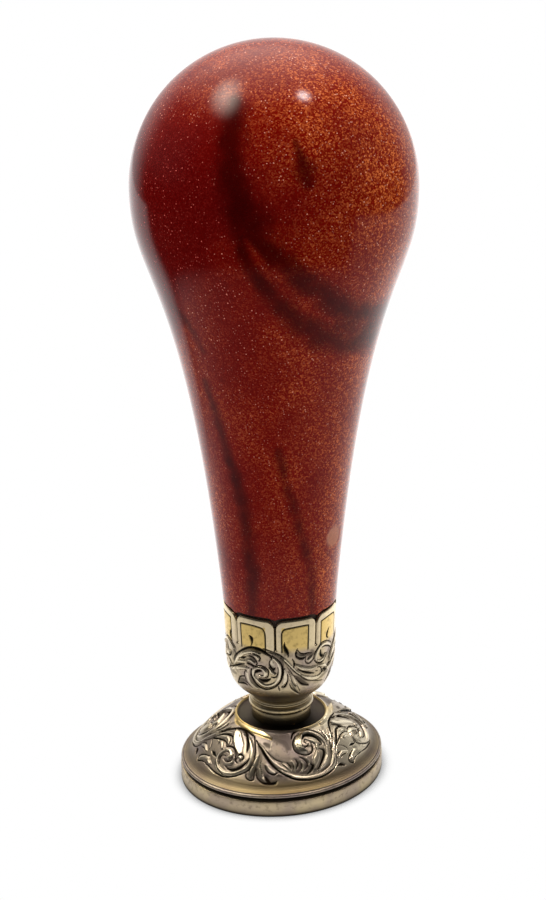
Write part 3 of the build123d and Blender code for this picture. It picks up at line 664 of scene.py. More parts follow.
# Dark swirls in the glass: degrees from the facing side, and millimetres up from the shoulder
GLASS_SWIRLS = [
    # the cloud of the main swirl, its column, and the two bands it parts into
    (0.6, (2.6, 4.0, 5.2, 5.8, 5.4, 4.4),
     [(-17.5, 63), (-15.5, 57), (-10, 51.5), (3, 45), (19, 40.5), (42, 37.5), (70, 36)]),
    (0.9, (1.6, 3.3, 3.9, 3.9, 2.4), [(-20, 64), (-19, 60), (-16.5, 56), (-13, 52.5), (-8, 49), (-2, 46.5)]),
    (0.82, (1.8, 3.0, 3.3, 3.3, 3.0),
     [(-12, 51.5), (-6, 49), (0, 47), (8, 44.8), (17, 42.7), (26, 41), (37, 39.4), (48, 38.4), (75, 37)]),
    (0.82, (1.5, 2.6, 3.1, 3.2, 3.0),
     [(-13, 48), (-6, 44.2), (0, 41.6), (8, 39.2), (19, 37), (34, 35.4), (50, 34.6), (64, 34.2)]),
    (0.75, (0.7, 1.3, 2.2, 1.6), [(9, 59.4), (10.4, 57.8), (11.8, 56.2), (12.8, 55)]),
    # where the bands run together, and the golden streak between them
    (0.66, (1.4, 2.4, 2.6, 2.2), [(20, 38.8), (32, 37.4), (46, 36.4), (66, 35.6)]),
    (-0.6, (0.5, 1.1, 1.2, 1.0, 0.4),
     [(-11, 49), (-4, 46), (4, 43.2), (13, 40.8), (21, 39.2), (28, 38.2)]),
    # streaks down the shank
    (0.55, (1.0, 1.6, 1.0), [(-62, 40), (-50, 38), (-42, 34)]),
    (0.75, (1.3, 1.7, 1.9, 2.1, 2.0),
     [(-46, 30), (-43, 27), (-40, 24), (-36, 20), (-32, 17), (-29, 14), (-27, 10), (-26, 6), (-27, 0)]),
    (0.6, (1.2, 1.4, 1.6, 1.2),
     [(0, 22), (6, 17.5), (11, 15), (16, 12.5), (21, 10), (26, 7.5), (30, 5), (34, 0)]),
    # the side away from the camera
    (0.75, (2.0, 2.8, 3.0, 1.6), [(70, 36.5), (95, 38), (115, 41), (135, 46), (150, 52)]),
    (0.8, (1.0, 2.4, 2.2, 1.0), [(170, 62), (185, 54), (200, 46), (222, 39), (240, 31)]),
    (0.7, (0.8, 1.4, 1.6, 1.0), [(120, 30), (140, 22), (160, 14), (172, 6), (176, 0)]),
    (0.6, (0.8, 1.2, 0.9), [(210, 20), (222, 12), (230, 2)]),
]
# A small chip low on the shank, and how pale its skin is and how soon
CHIP_TURN, CHIP_UP, CHIP_RADIUS, CHIP_DEPTH = 55.5, 9.3, 1.5, 0.1
CHIP_PALE, CHIP_RATE = 0.7, 3


# Materials

def scale_for(size):
    """Scale of a pattern whose features measure that many millimetres."""
    return 1 / (size * MM)


def goldstone():
    """Aventurine glass, cast and polished: copper flecks crowd a deep red glass, fewer where it is darkest
    and in the dark swirls, so the eye sees a fine sparkling grain under a smooth skin."""
    material, add = new_material("goldstone_glass_polished")
    place = add("TexCoord").outputs["Object"]
    names = ("swirl", "warmth", "chip")
    swirl, warm, chip = (add("Attribute", attribute_name=name).outputs["Fac"] for name in names)
    # the glass leans from red to orange brown in clouds of about 8 mm
    cloud = add("TexNoise", {"Vector": place, "Scale": scale_for(8.0), "Detail": 4.0})
    lean = add("MapRange", [cloud, 0.35, 0.65, -0.16, 0.12])
    tint = add("Math", [warm, lean], use_clamp=True)
    body = add("Mix", [tint, "#4f0000", "#770b00"], data_type="RGBA")
    hue = add("MapRange", [tint, 0.1, 0.95], interpolation_type="SMOOTHSTEP")
    copper = add("Mix", [hue, "#84201c", "#e0783a"], data_type="RGBA")
    crowd = add("MapRange", [hue, 0.0, 1.0, 0.32, 0.9])
    thin = add("MapRange", [swirl, 0.0, 1.0, 1.0, 0.3])
    crowd = add("Math", [crowd, thin], operation="MULTIPLY")
    # copper grains of 0.16 mm, coarser than the real ones of about 0.05 mm, so that they show
    grains = add("TexVoronoi", {"Vector": place, "Scale": scale_for(0.16)})
    luck = add("SeparateColor", [grains.outputs["Color"]]).outputs["Red"]
    glint = add("Math", [luck, 3.0], operation="POWER")
    share = add("Math", [glint, crowd], operation="MULTIPLY")
    fleck = add("Mix", [share, body, copper], data_type="RGBA")
    # the odd larger crystal, at most one in a cell of 0.25 mm, shows as a pale point: a painted glint
    crystals = add("TexVoronoi", {"Vector": place, "Scale": scale_for(0.25)})
    point = add("MapRange", [crystals, 0.36, 0.18])
    chosen = add("SeparateColor", [crystals.outputs["Color"]]).outputs["Green"]
    chosen = add("Math", [chosen, 10.0], operation="POWER")
    # they are rare in the shank, and in the dark swirls
    height = add("SeparateXYZ", [place]).outputs["Z"]
    rare = add("MapRange", [height, 46 * MM, 64 * MM, 0.5, 1.0])
    glint_points = add("Math", [point, chosen], operation="MULTIPLY")
    for fewer in (thin, rare):
        glint_points = add("Math", [glint_points, fewer], operation="MULTIPLY")
    bright = add("Mix", [tint, "#d86058", "#ffd4b4"], data_type="RGBA")
    lit = add("Mix", [glint_points, fleck, bright], data_type="RGBA")
    # the swirls feather out along threads of about 2 mm
    thread = add("TexNoise", {"Vector": place, "Scale": scale_for(2.2), "Detail": 4.0})
    frayed = add("Math", [thread, 0.9, swirl], operation="MULTIPLY_ADD")
    dim = add("MapRange", [frayed, 0.5, 1.45, 0.0, 0.85], interpolation_type="SMOOTHSTEP")
    colour = add("Mix", [dim, lit, "#2c0000"], data_type="RGBA")
    # a small chip has a paler, duller skin
    colour = add("Mix", [chip, colour, "#a86c50"], data_type="RGBA")
    rough = add("MapRange", [chip, 0.0, 1.0, 0.12, 0.4])
    skin = add("BsdfPrincipled", {"Base Color": colour, "Roughness": rough, "IOR": 1.5,
                                  "Specular IOR Level": 0.125})
    add("OutputMaterial", {"Surface": skin})
    return material


def gilt(name, bright, dull, gloss, wear):
    """Gilt base metal, worn and tarnished: warm gold where the gilding is left and where a golden reflection
    is painted, cream where it is rubbed and where a highlight is painted, pinkish grey where it is dull, and
    an olive to brown film that stays in the chased lines and also stands for painted shade."""
    material, add = new_material(name)
    place = add("TexCoord").outputs["Object"]
    names = ("tarnish_and_shade", "polish_and_highlight", "gild_and_sheen")
    tarnish_and_shade, polish_and_highlight, gild_and_sheen = (add("Attribute", attribute_name=field).outputs["Fac"] for field in names)
    # patches of about 3 mm, and a film of about 0.5 mm
    patch = add("TexNoise", {"Vector": place, "Scale": scale_for(3.0), "Detail": 4.0})
    film = add("TexNoise", {"Vector": place, "Scale": scale_for(0.5), "Detail": 3.0})
    share = add("MapRange", [patch, 0.38, 0.62])
    body = add("Mix", [share, bright, dull], data_type="RGBA")
    # gold for gilding and for a painted golden reflection, cream for rubbed metal and painted highlights
    body = add("Mix", [gild_and_sheen, body, "#d8ba74"], data_type="RGBA")
    body = add("Mix", [polish_and_highlight, body, "#fff1d2"], data_type="RGBA")
    # the dark film is patina, and also painted shade
    patina_and_shade = add("Mix", [share, "#14150d", "#241911"], data_type="RGBA")
    # the film leaves spots, but not where the metal is rubbed
    spots = add("MapRange", [film, 0.5, 0.75, 0.0, wear])
    left = add("MapRange", [polish_and_highlight, 0.0, 0.8, 1.0, 0.0])
    spots = add("Math", [spots, left], operation="MULTIPLY")
    dark = add("Math", [tarnish_and_shade, spots], operation="MAXIMUM")
    colour = add("Mix", [dark, body, patina_and_shade], data_type="RGBA")
    rough = add("MapRange", [dark, 0.0, 1.0, gloss, gloss + 0.35])
    rough = add("Math", [polish_and_highlight, -0.18, rough], operation="MULTIPLY_ADD")
    bump = add("Bump", {"Height": film, "Distance": 0.02 * MM, "Strength": 0.3})
    skin = add("BsdfPrincipled", {"Base Color": colour, "Metallic": 1.0, "Roughness": rough, "Normal": bump})
    add("OutputMaterial", {"Surface": skin})
    return material


def plain_fill(name, colour, spots, rough, metal):
    """Cement, pitch or brass that only shows in gaps: one colour with a mottle of about 0.6 mm."""
    material, add = new_material(name)
    place = add("TexCoord").outputs["Object"]
    grain = add("TexNoise", {"Vector": place, "Scale": scale_for(0.6), "Detail": 4.0})
    body = add("Mix", [grain, colour, spots], data_type="RGBA")
    skin = add("BsdfPrincipled", {"Base Color": body, "Metallic": metal, "Roughness": rough})
    add("OutputMaterial", {"Surface": skin})
    return material


# Handle: one lathe tree turns its profile round the axis

SHANK_ROWS, BULB_ROWS, EDGE_ROWS, HANDLE_COLUMNS = 150, 70, 3, 360
ARC_POINTS, WELD = 200, 0.002
# Points count as level with the shoulder, or as one row, when they are this close
CLOSE, ROW_CLOSE = 0.001, 0.0002
HANDLE_CREASE = 40.0
# Where the glass is deep red: on the left of the bulb, down to a slanting edge; it evens out at the back
RED_EDGE, EDGE_SLANT, EDGE_SOFT = 61.5, 0.28, 6.0
EDGE_TURN, EDGE_ENDS = -46.0, (-20.0, 24.0)
BACK_WIDTH, SIDE_TURN, SIDE_RATE = 75.0, 8.0, 1.6
FLANK_FROM, FLANK_TO = 26.0, 66.0
TOP_FROM, TOP_TO = 75.0, 86.0
# How far it leans to orange: everywhere, by side and at the flanks of the shank, on the bulb and at its top
PLAIN_WARMTH, SIDE_WARMTH, FLANK_WARMTH = 0.43, 0.14, 0.24
BULB_WARMTH, BULB_SIDE_WARMTH, TOP_WARMTH, TOP_SIDE_WARMTH = -0.16, 0.44, 0.64, 0.1
# The glass dips into the notches between the lappets, and fades back over this height
FOOT_DIP, NOTCH_DIP, DIP_HEIGHT = 0.1, 0.3, 1.6


def lathe_tree():
    """A Geometry Nodes tree that turns the glass handle: socket and spigot, shank, bulb."""
    tree = bpy.data.node_groups.new("glass_lathe", "GeometryNodeTree")
    tree.interface.new_socket("Geometry", in_out="OUTPUT", socket_type="NodeSocketGeometry")
    names = ["Socket Radius", "Socket Top", "Spigot Radius", "Spigot End", "Foot Radius", "Shoulder",
             "Lean", "Foot Pull", "Bulb Pull", "Bulb Radius", "Bulb Centre"]
    kinds = {**dict.fromkeys(names, "Float"), "Columns": "Int", "Glass": "Material"}
    for name, kind in kinds.items():
        tree.interface.new_socket(name, in_out="INPUT", socket_type="NodeSocket" + kind)
    add = node_adder(tree)
    given = add("NodeGroupInput").outputs

    # how far the shank's two pulls reach: along its lean at the foot, and straight down from the bulb
    sine = add("Math", [given["Lean"]], operation="SINE")
    cosine = add("Math", [given["Lean"]], operation="COSINE")
    out = add("Math", [given["Foot Pull"], sine, given["Foot Radius"]], operation="MULTIPLY_ADD")
    up = add("Math", [given["Foot Pull"], cosine, given["Shoulder"]], operation="MULTIPLY_ADD")
    down = add("Math", [given["Bulb Centre"], given["Bulb Pull"]], operation="SUBTRACT")
    section = [(0.0, "Socket Top"), ("Socket Radius", "Socket Top"), ("Socket Radius", "Spigot End"),
               ("Spigot Radius", "Spigot End"), ("Spigot Radius", "Shoulder"), ("Foot Radius", "Shoulder"),
               (out, up), ("Bulb Radius", down), ("Bulb Radius", "Bulb Centre"), (0.0, "Bulb Centre")]
    spots = []
    for spot in section:
        radius, height = (given[size] if isinstance(size, str) else size for size in spot)
        spots.append(add("CombineXYZ", {"X": radius, "Z": height}))
    *corners, foot_pull, bulb_pull, join, centre = spots

    profiles = []
    for start, end in zip(corners[:-1], corners[1:]):
        profiles.append((add("GeometryNodeCurvePrimitiveLine", {"Start": start, "End": end}), EDGE_ROWS))
    shank = add("GeometryNodeCurvePrimitiveBezierSegment",
                {"Resolution": 2 * SHANK_ROWS, "Start": corners[-1], "Start Handle": foot_pull,
                 "End Handle": bulb_pull, "End": join})
    circle = add("GeometryNodeCurveArc", {"Resolution": ARC_POINTS, "Radius": given["Bulb Radius"],
                                          "Sweep Angle": math.pi / 2})
    bulb = add("GeometryNodeTransform", {"Geometry": circle, "Rotation": (math.pi / 2, 0, 0),
                                         "Translation": centre})
    profiles += [(shank, SHANK_ROWS), (bulb, BULB_ROWS)]

    # each profile gets a sheet of points, one side along the profile and one round the axis
    whole = add("GeometryNodeJoinGeometry")
    steps = add("Math", [given["Columns"], 1.0])
    for profile, rows in profiles:
        sheet = add("GeometryNodeMeshGrid", {"Vertices X": steps, "Vertices Y": rows})
        held = add("GeometryNodeStoreNamedAttribute",
                   {"Geometry": sheet, "Name": "sheet", "Value": sheet.outputs["UV Map"]},
                   data_type="FLOAT_VECTOR", domain="POINT")
        read = add("GeometryNodeInputNamedAttribute", {"Name": "sheet"}, data_type="FLOAT_VECTOR")
        share = add("SeparateXYZ", [read]).outputs
        spot = add("GeometryNodeSampleCurve", {"Curves": profile, "Factor": share["Y"]},
                   mode="FACTOR", use_all_curves=True)
        angle = add("Math", [share["X"], 2 * math.pi], operation="MULTIPLY")
        spun = add("VectorRotate", {"Vector": spot.outputs["Position"], "Angle": angle},
                   rotation_type="Z_AXIS")
        placed = add("GeometryNodeSetPosition", {"Geometry": held, "Position": spun})
        tree.links.new(placed.outputs[0], whole.inputs[0])
    welded = add("GeometryNodeMergeByDistance", {"Geometry": whole, "Distance": WELD * MM})
    real = add("GeometryNodeRealizeInstances", {"Geometry": welded})
    done = add("GeometryNodeSetMaterial", {"Geometry": real, "Material": given["Glass"]})
    add("NodeGroupOutput", [done])
    return tree


def turned_mesh(material):
    """The handle as the lathe tree turns it, as a plain mesh."""
    tree = lathe_tree()
    foot_pull, bulb_pull = (pull * (BULB_CENTRE - SHOULDER) for pull in SHANK_PULLS)
    sizes = {"Socket Radius": PEG_HOLE, "Socket Top": SPIGOT_END + SOCKET_DEPTH,
             "Spigot Radius": SPIGOT_RADIUS, "Spigot End": SPIGOT_END, "Foot Radius": GLASS_FOOT,
             "Shoulder": SHOULDER, "Foot Pull": foot_pull, "Bulb Pull": bulb_pull,
             "Bulb Radius": BULB_RADIUS, "Bulb Centre": BULB_CENTRE}
    sizes = {name: value * MM for name, value in sizes.items()}
    sizes.update({"Lean": math.radians(GLASS_LEAN), "Columns": HANDLE_COLUMNS, "Glass": material})
    blank = new_object("lathe_blank", bpy.data.meshes.new("lathe_blank"))
    turn = blank.modifiers.new("turn", "NODES")
    turn.node_group = tree
    for socket in tree.interface.items_tree:
        if socket.in_out == "INPUT":
            turn[socket.identifier] = sizes[socket.name]
    seen = bpy.context.evaluated_depsgraph_get()
    mesh = bpy.data.meshes.new_from_object(blank.evaluated_get(seen))
    blank.modifiers.clear()
    bpy.data.objects.remove(blank)
    mesh.attributes.remove(mesh.attributes["sheet"])
    return mesh


def glass_warmth(angle, height):
    """How far the glass leans from deep red to orange, by degrees from the facing side and by height."""
    meet = ease(ramp(np.abs(angle), 180, 180 - BACK_WIDTH))
    edge = RED_EDGE + EDGE_SLANT * meet * np.clip(angle - EDGE_TURN, *EDGE_ENDS)
    bulb = ramp(height, edge, edge + EDGE_SOFT)
    side = meet * np.sin(np.radians(np.clip(SIDE_RATE * (angle - SIDE_TURN), -90, 90)))
    flank = ramp(np.abs(angle), FLANK_FROM, FLANK_TO)
    warmth = PLAIN_WARMTH + SIDE_WARMTH * side + FLANK_WARMTH * flank * (1 - bulb)
    warmth += bulb * (BULB_SIDE_WARMTH * side + BULB_WARMTH)
    top = ramp(height, TOP_FROM, TOP_TO)
    return warmth + top * (TOP_WARMTH + TOP_SIDE_WARMTH * side - warmth)


def glass_handle(material):
    """Turns the handle, dips its foot into the notches, chips it and paints the swirls on it."""
    mesh = turned_mesh(material)
    points = np.zeros(len(mesh.vertices) * 3)
    mesh.vertices.foreach_get("co", points)
    points = points.reshape(-1, 3) / MM
    radius = np.hypot(points[:, 0], points[:, 1])
    around = np.degrees(np.arctan2(points[:, 1], points[:, 0]))
    angle = from_facing(around)
    above = (points[:, 2] >= SHOULDER - CLOSE) & (radius > SPIGOT_RADIUS + CLOSE)
    outside = above | (points[:, 2] > BULB_CENTRE)
    # height up the skin from the shoulder, from the rows of the outside
    ladder = np.unique(np.round(points[outside][:, 2], 4))
    rung = np.array([radius[outside][np.abs(points[outside][:, 2] - z) < ROW_CLOSE].max() for z in ladder])
    climb = np.concatenate([[0], np.cumsum(np.hypot(np.diff(ladder), np.diff(rung)))])

    def flat(degrees, up):
        reach = np.interp(up, climb, rung)
        return np.stack([np.radians(degrees) * reach, up], -1)

    grid = flat(angle, np.interp(points[:, 2], ladder, climb))
    swirl = np.zeros(len(points))
    for strength, widths, line in GLASS_SWIRLS:
        share = ease(stroke_share(grid, flat, widths, line, (-360.0, 0.0, 360.0))[0])
        # a stroke below nothing is a bright streak that parts the dark ones
        swirl = np.maximum(swirl, strength * share) if strength > 0 else swirl * (1 + strength * share)
    from_chip = np.hypot(*(grid - flat(CHIP_TURN, CHIP_UP)).T)
    bite = ramp(from_chip, CHIP_RADIUS, 0) * outside
    fields = {"swirl": swirl * outside, "warmth": glass_warmth(angle, points[:, 2]),
              "chip": np.clip(bite * CHIP_RATE, 0, CHIP_PALE)}

    points[:, :2] *= (1 - CHIP_DEPTH * np.sqrt(bite) / np.maximum(radius, 1))[:, None]
    dip = FOOT_DIP + NOTCH_DIP * ramp(off_slit(around, GLASS_FOOT), NOTCH_HALF, 0) ** 1.5
    points[:, 2] -= dip * outside * ramp(points[:, 2], SHOULDER + DIP_HEIGHT, SHOULDER)
    mesh.vertices.foreach_set("co", (points * MM).ravel())
    mesh.update()
    return finished("glass_handle", mesh, fields, HANDLE_CREASE)


# Cup, dome, neck, bead and plate

CHASED_CREASE = 60.0
# The cup's rows: few under the chasing, close through it, then even up to each lappet's edge
CUP_COLUMNS, LOW_ROWS, CHASED_ROWS, LAPPET_ROWS = 528, 9, 112, 26
CHASED_FROM, CHASED_TO = 2.2, 11.0
# Radius at which the cup's wall is unrolled, and how far its scroll is raised and cut
CUP_UNROLLED, CUP_LIFT, CUP_CUT = 6.4, 0.16, 0.14
# The bowl is a little fuller than the part's arc, low down
BOWL_SWELL, SWELL_UP, SWELL_HALF = 0.22, 2.7, 2.2
# The lappets end a little under the glass, lowest at their sides
LAPPET_DROP, SIDE_DROP = 0.42, 0.12
# The slits are cut finer than the part's gap, with soft edges, and start softly
SLIT_CUT, SLIT_DEPTH, SLIT_SOFT, SLIT_START = 0.2, 0.36, 0.03, 0.15
# A fine line runs round each panel, edges are rounded off, and gilding is left inside the line
LINE_HALF, LINE_DEPTH = 0.12, 0.06
EDGE_ROUND, RIM_ROUND, ROUND_DEPTH = 0.28, 0.2, 0.07
PANEL_MIDDLE, PANEL_HALF, PANEL_TOP = -1.7, 14.2, 12.1
GILT_FROM, GILT_TO, FRAME_GILT, FRAME_POLISH = 8.6, 9.4, 0.35, 0.3
# The plain bowl is dull below the scroll, and so is the lappets' rim
BOWL_FILM, DULL_FROM, DULL_TO, RIM_FILM = 0.3, 2.6, 1.4, 0.35
# Rows of the cup's inside: shares of the lean wall, then even steps down the bowl
INNER_SHARES, BOWL_ROWS, BOWL_LOW = (0.9, 0.75, 0.5, 0.25), 6, 1.6
# The dome's crown is dished round the neck, and its ground is sunk, so its scroll reaches the part's skin
HOLLOW, GROUND_SUNK = 0.33, 0.15
DOME_COLUMNS, DOME_ROWS, DOME_INNER_ROWS = 648, 112, 12
DOME_LIFT, DOME_CUT = 0.19, 0.16
# The dome's wall unrolls as a cone with this foot and this ratio of its turn
CONE_FOOT, CONE_TURN = 11.4, 0.77
# Shares of the dome's wall: relief fades at its ends, and the ground rises to a plain border
END_FADE, BORDER_FROM, BORDER_TO = 0.04, 0.8, 0.94
# Black dish of painted shade, less black at the sides, and gilt lip that is worn at the front, in degrees
DISH_SHADE_FADE, DISH_SHADE_FROM, DISH_SHADE_TO = 0.25, 35, 75
LIP_GILT, LIP_FILM, LIP_MIDDLE, LIP_FROM, LIP_TO = 0.9, 0.6, -4, 18, 38
BORDER_FILM = 0.42
# Painted light on the right side and painted shade on the left side, which also has fewer painted highlights
PAINTED_SIDE_TURN, PAINTED_SIDE_WIDTH, RIGHT_PAINTED_LIGHT, LEFT_PAINTED_DIMMING, LEFT_PAINTED_SHADE = 63, 27, 0.8, 0.4, 0.14
# Gilding left on the border at the dome's foot all round, and a painted golden reflection near the facing
# side
LEAST_GILT, FACING_SHEEN, SHEEN_MIDDLE, SHEEN_WIDTH = 0.1, 0.35, 5, 45
NECK_COLUMNS, OVAL_COLUMNS = 160, 240
# The neck's bead and cove
NECK_RADIUS, NECK_BEAD, NECK_BEAD_HALF, NECK_BEAD_UP = 3.6, 0.36, 0.5, 9.5
COVE_REACH, COVE_RISE, COVE_UP = 0.25, 0.6, 10.25
# The round bead at the border's edge, and the border's flare
RIM_RADIUS, RIM_UP = 0.2, 2.58
FLARE_INSET, FLARE_UP, FLARE_SLOPE, FLARE_CURVE = 0.33, 2.86, 0.19, 0.57
# The plate's face and register end at this inset, its edges are this soft, and its register stands this
# far inside the dome's outline
FACE_INSET, SOFT_EDGE, REGISTER_INSET = 8.0, 0.05, 0.5


def cup_relief(turn, run, top, bowl_run):
    """Height and fields of the cup's outside: its scroll, and the lappets' lines, edges and slits."""
    def flat(degrees, up):
        return np.stack([np.radians(degrees) * CUP_UNROLLED, up + np.zeros_like(degrees)], -1)

    height, fields = chase_round(turn, run, flat, CUP_WORK, CUP_LIFT, CUP_CUT)
    part_turn = turn + FACING
    from_slit = off_slit(part_turn, CUP_MOUTH)
    from_middle = part_turn % SLIT_STEP - SLIT_STEP / 2
    spots = flat(np.broadcast_to(from_middle, run.shape), run)
    widths = (LINE_HALF, LINE_HALF)
    even, odd = (stroke_share(spots, flat, widths, line, (0.0,))[0] for line in LAPPET_LINES)
    line = np.where(np.floor(part_turn / SLIT_STEP) % 2, odd, even)
    slit_run = bowl_run + (SLIT_FOOT - BELLY_HEIGHT)
    edge = np.where(run > slit_run, ramp(from_slit, SLIT_CUT / 2, SLIT_CUT / 2 + EDGE_ROUND), 1.0)
    rim = ramp(run, top, top - RIM_ROUND)
    slit = ramp(from_slit, SLIT_CUT / 2 + SLIT_SOFT, SLIT_CUT / 2 - SLIT_SOFT)
    slit = slit * ramp(run, slit_run, slit_run + SLIT_START)
    height -= LINE_DEPTH * line + ROUND_DEPTH * ((1 - edge) ** 2 + (1 - rim) ** 2) + SLIT_DEPTH * slit
    height += BOWL_SWELL * np.clip(1 - ((run - SWELL_UP) / SWELL_HALF) ** 2, 0, 1) ** 2
    dull = BOWL_FILM * ramp(run, DULL_FROM, DULL_TO)
    fields["tarnish_and_shade"] = np.maximum.reduce([fields["tarnish_and_shade"], steep(line, 2), slit, dull])
    inside = (np.abs(from_middle - PANEL_MIDDLE) < PANEL_HALF) & (run < PANEL_TOP)
    upper = ramp(run, GILT_FROM, GILT_TO)
    fields["gild_and_sheen"] = np.maximum(fields["gild_and_sheen"], upper * np.where(inside, 1.0, FRAME_GILT))
    fields["polish_and_highlight"] = np.maximum(fields["polish_and_highlight"], upper * np.where(inside, 0.0, FRAME_POLISH))
    return height, fields


def lappet_cup():
    """The cup: a bowl that rises into eight lappets, chased all round below them."""
    turn = all_round(CUP_COLUMNS)
    direction = np.radians(turn + FACING)
    bowl = math.hypot(CUP_FOOT + BOWL_OFFSET, BELLY_HEIGHT - NECK_TOP)
    start = math.atan2(NECK_TOP - BELLY_HEIGHT, CUP_FOOT + BOWL_OFFSET)
    bowl_run = -start * bowl
    lean = math.atan2(CUP_MOUTH - CUP_BELLY, MOUTH_HEIGHT - BELLY_HEIGHT)
    top_run = bowl_run + (MOUTH_HEIGHT - BELLY_HEIGHT) / math.cos(lean)
    notch = ramp(off_slit(turn + FACING, CUP_MOUTH), NOTCH_HALF, SLIT_WIDTH / 2)
    from_middle = (turn + FACING) % SLIT_STEP / SLIT_STEP * 2 - 1
    top = top_run - LAPPET_DROP - NOTCH_DEPTH * (1 - np.sqrt(1 - notch ** 2)) - SIDE_DROP * from_middle ** 2
    low = np.linspace(0, CHASED_FROM, LOW_ROWS, endpoint=False)
    chased = np.linspace(CHASED_FROM, CHASED_TO, CHASED_ROWS, endpoint=False)
    fixed = np.broadcast_to(np.concatenate([low, chased])[:, None], (LOW_ROWS + CHASED_ROWS, CUP_COLUMNS))
    rise = np.linspace(0, 1, LAPPET_ROWS)[:, None]
    run = np.vstack([fixed, CHASED_TO + (top - CHASED_TO) * rise])

    def wall(run, inset):
        around = start + np.minimum(run, bowl_run) / bowl
        along = np.maximum(run - bowl_run, 0)
        radius = -BOWL_OFFSET + (bowl - inset) * np.cos(around) + along * math.sin(lean)
        height = BELLY_HEIGHT + (bowl - inset) * np.sin(around) + along * math.cos(lean)
        return np.stack([radius * np.cos(direction), radius * np.sin(direction), height], -1)

    height, fields = cup_relief(turn, run, top, bowl_run)
    outer = wall(run, 0.0)
    outer += wall_normals(outer) * height[..., None]
    straight = np.array(INNER_SHARES)[:, None] * (top - bowl_run) + bowl_run
    curved = np.linspace(bowl_run, BOWL_LOW, BOWL_ROWS)[:, None] + np.zeros(CUP_COLUMNS)
    inner = wall(np.vstack([top, straight, curved]), WALL)
    inner[..., 2] = np.maximum(inner[..., 2], CUP_FLOOR)
    ends = [PEG_HOLE * np.cos(direction), PEG_HOLE * np.sin(direction)]
    base = np.stack([np.stack(ends + [np.full(CUP_COLUMNS, z)], -1) for z in (CUP_FLOOR, NECK_TOP)])
    # the inside is black, a painted shade in the gap under the glass, and the lappets' rim is only dull
    fields["tarnish_and_shade"] = np.vstack([fields["tarnish_and_shade"], np.ones((len(inner) + len(base), CUP_COLUMNS))])
    rim = slice(len(outer) - 1, len(outer) + 1)
    fields["tarnish_and_shade"][rim] = np.minimum(fields["tarnish_and_shade"][rim], RIM_FILM)
    return shell("chased_lappet_cup", np.concatenate([outer, inner, base]), fields, crease=CHASED_CREASE)


def border_gilt_and_sheen(turn):
    """Gilding that is left on the border, with a painted golden reflection near the facing side, by degrees
    from the facing side.
    """
    return LEAST_GILT + FACING_SHEEN * bell(turn, SHEEN_MIDDLE, SHEEN_WIDTH)


def dome_level(share, inset):
    """Half axes and height of the dome's wall, share 0 at the crown and 1 at the foot."""
    mean = (DOME_LONG + DOME_WIDE) / 2
    rise = CROWN_HEIGHT - BEAD_TOP
    chord = math.hypot(mean - CROWN_RADIUS, rise)
    swell = DOME_BULGE * 4 * share * (1 - share)
    outward = swell * rise / chord - inset
    height = CROWN_HEIGHT - rise * share + swell * (mean - CROWN_RADIUS) / chord - inset * (1 - share)
    return (CROWN_RADIUS + (DOME_LONG - CROWN_RADIUS) * share + outward,
            CROWN_RADIUS + (DOME_WIDE - CROWN_RADIUS) * share + outward, height)


def dome_fields(turn, share, chased, shape, first):
    """Fields of the dome: what the chasing gives its wall, which starts at the first row, its wear, and its
    painted shade, light and golden reflection.
    """
    last = first + len(share)
    wall = slice(first, last)
    tarnish_and_shade, polish_and_highlight, gild_and_sheen = (np.zeros(shape) for _ in range(3))
    tarnish_and_shade[wall], polish_and_highlight[wall], gild_and_sheen[wall] = chased["tarnish_and_shade"], chased["polish_and_highlight"], chased["gild_and_sheen"]
    # the dish is black with painted shade; its lip and the border at the foot keep some gilding, and the
    # border gets a painted golden reflection near the facing side
    tarnish_and_shade[:first - 2] = 1.0 - DISH_SHADE_FADE * ramp(np.abs(turn), DISH_SHADE_FROM, DISH_SHADE_TO)
    tarnish_and_shade[last + 1:] = 1.0
    lip = ramp(np.abs(turn - LIP_MIDDLE), LIP_FROM, LIP_TO)
    gild_and_sheen[first - 2:first + 4] = LIP_GILT * lip
    tarnish_and_shade[first - 2:first + 3] = LIP_FILM * (1 - lip)
    border = ramp(share, BORDER_FROM, BORDER_TO)[:, None] ** 2
    gild_and_sheen[wall] += border * border_gilt_and_sheen(turn)
    # the right side is lighter and the left side darker: painted light and shade
    sides = (PAINTED_SIDE_TURN, -PAINTED_SIDE_TURN)
    right, left = (bell(turn, middle, PAINTED_SIDE_WIDTH) * (1 - border) for middle in sides)
    polish_and_highlight[wall] = np.maximum(polish_and_highlight[wall] * (1 - LEFT_PAINTED_DIMMING * left), RIGHT_PAINTED_LIGHT * right)
    tarnish_and_shade[wall] = np.maximum(tarnish_and_shade[wall], np.maximum(BORDER_FILM * border, LEFT_PAINTED_SHADE * left))
    return {"tarnish_and_shade": tarnish_and_shade, "polish_and_highlight": polish_and_highlight, "gild_and_sheen": gild_and_sheen}


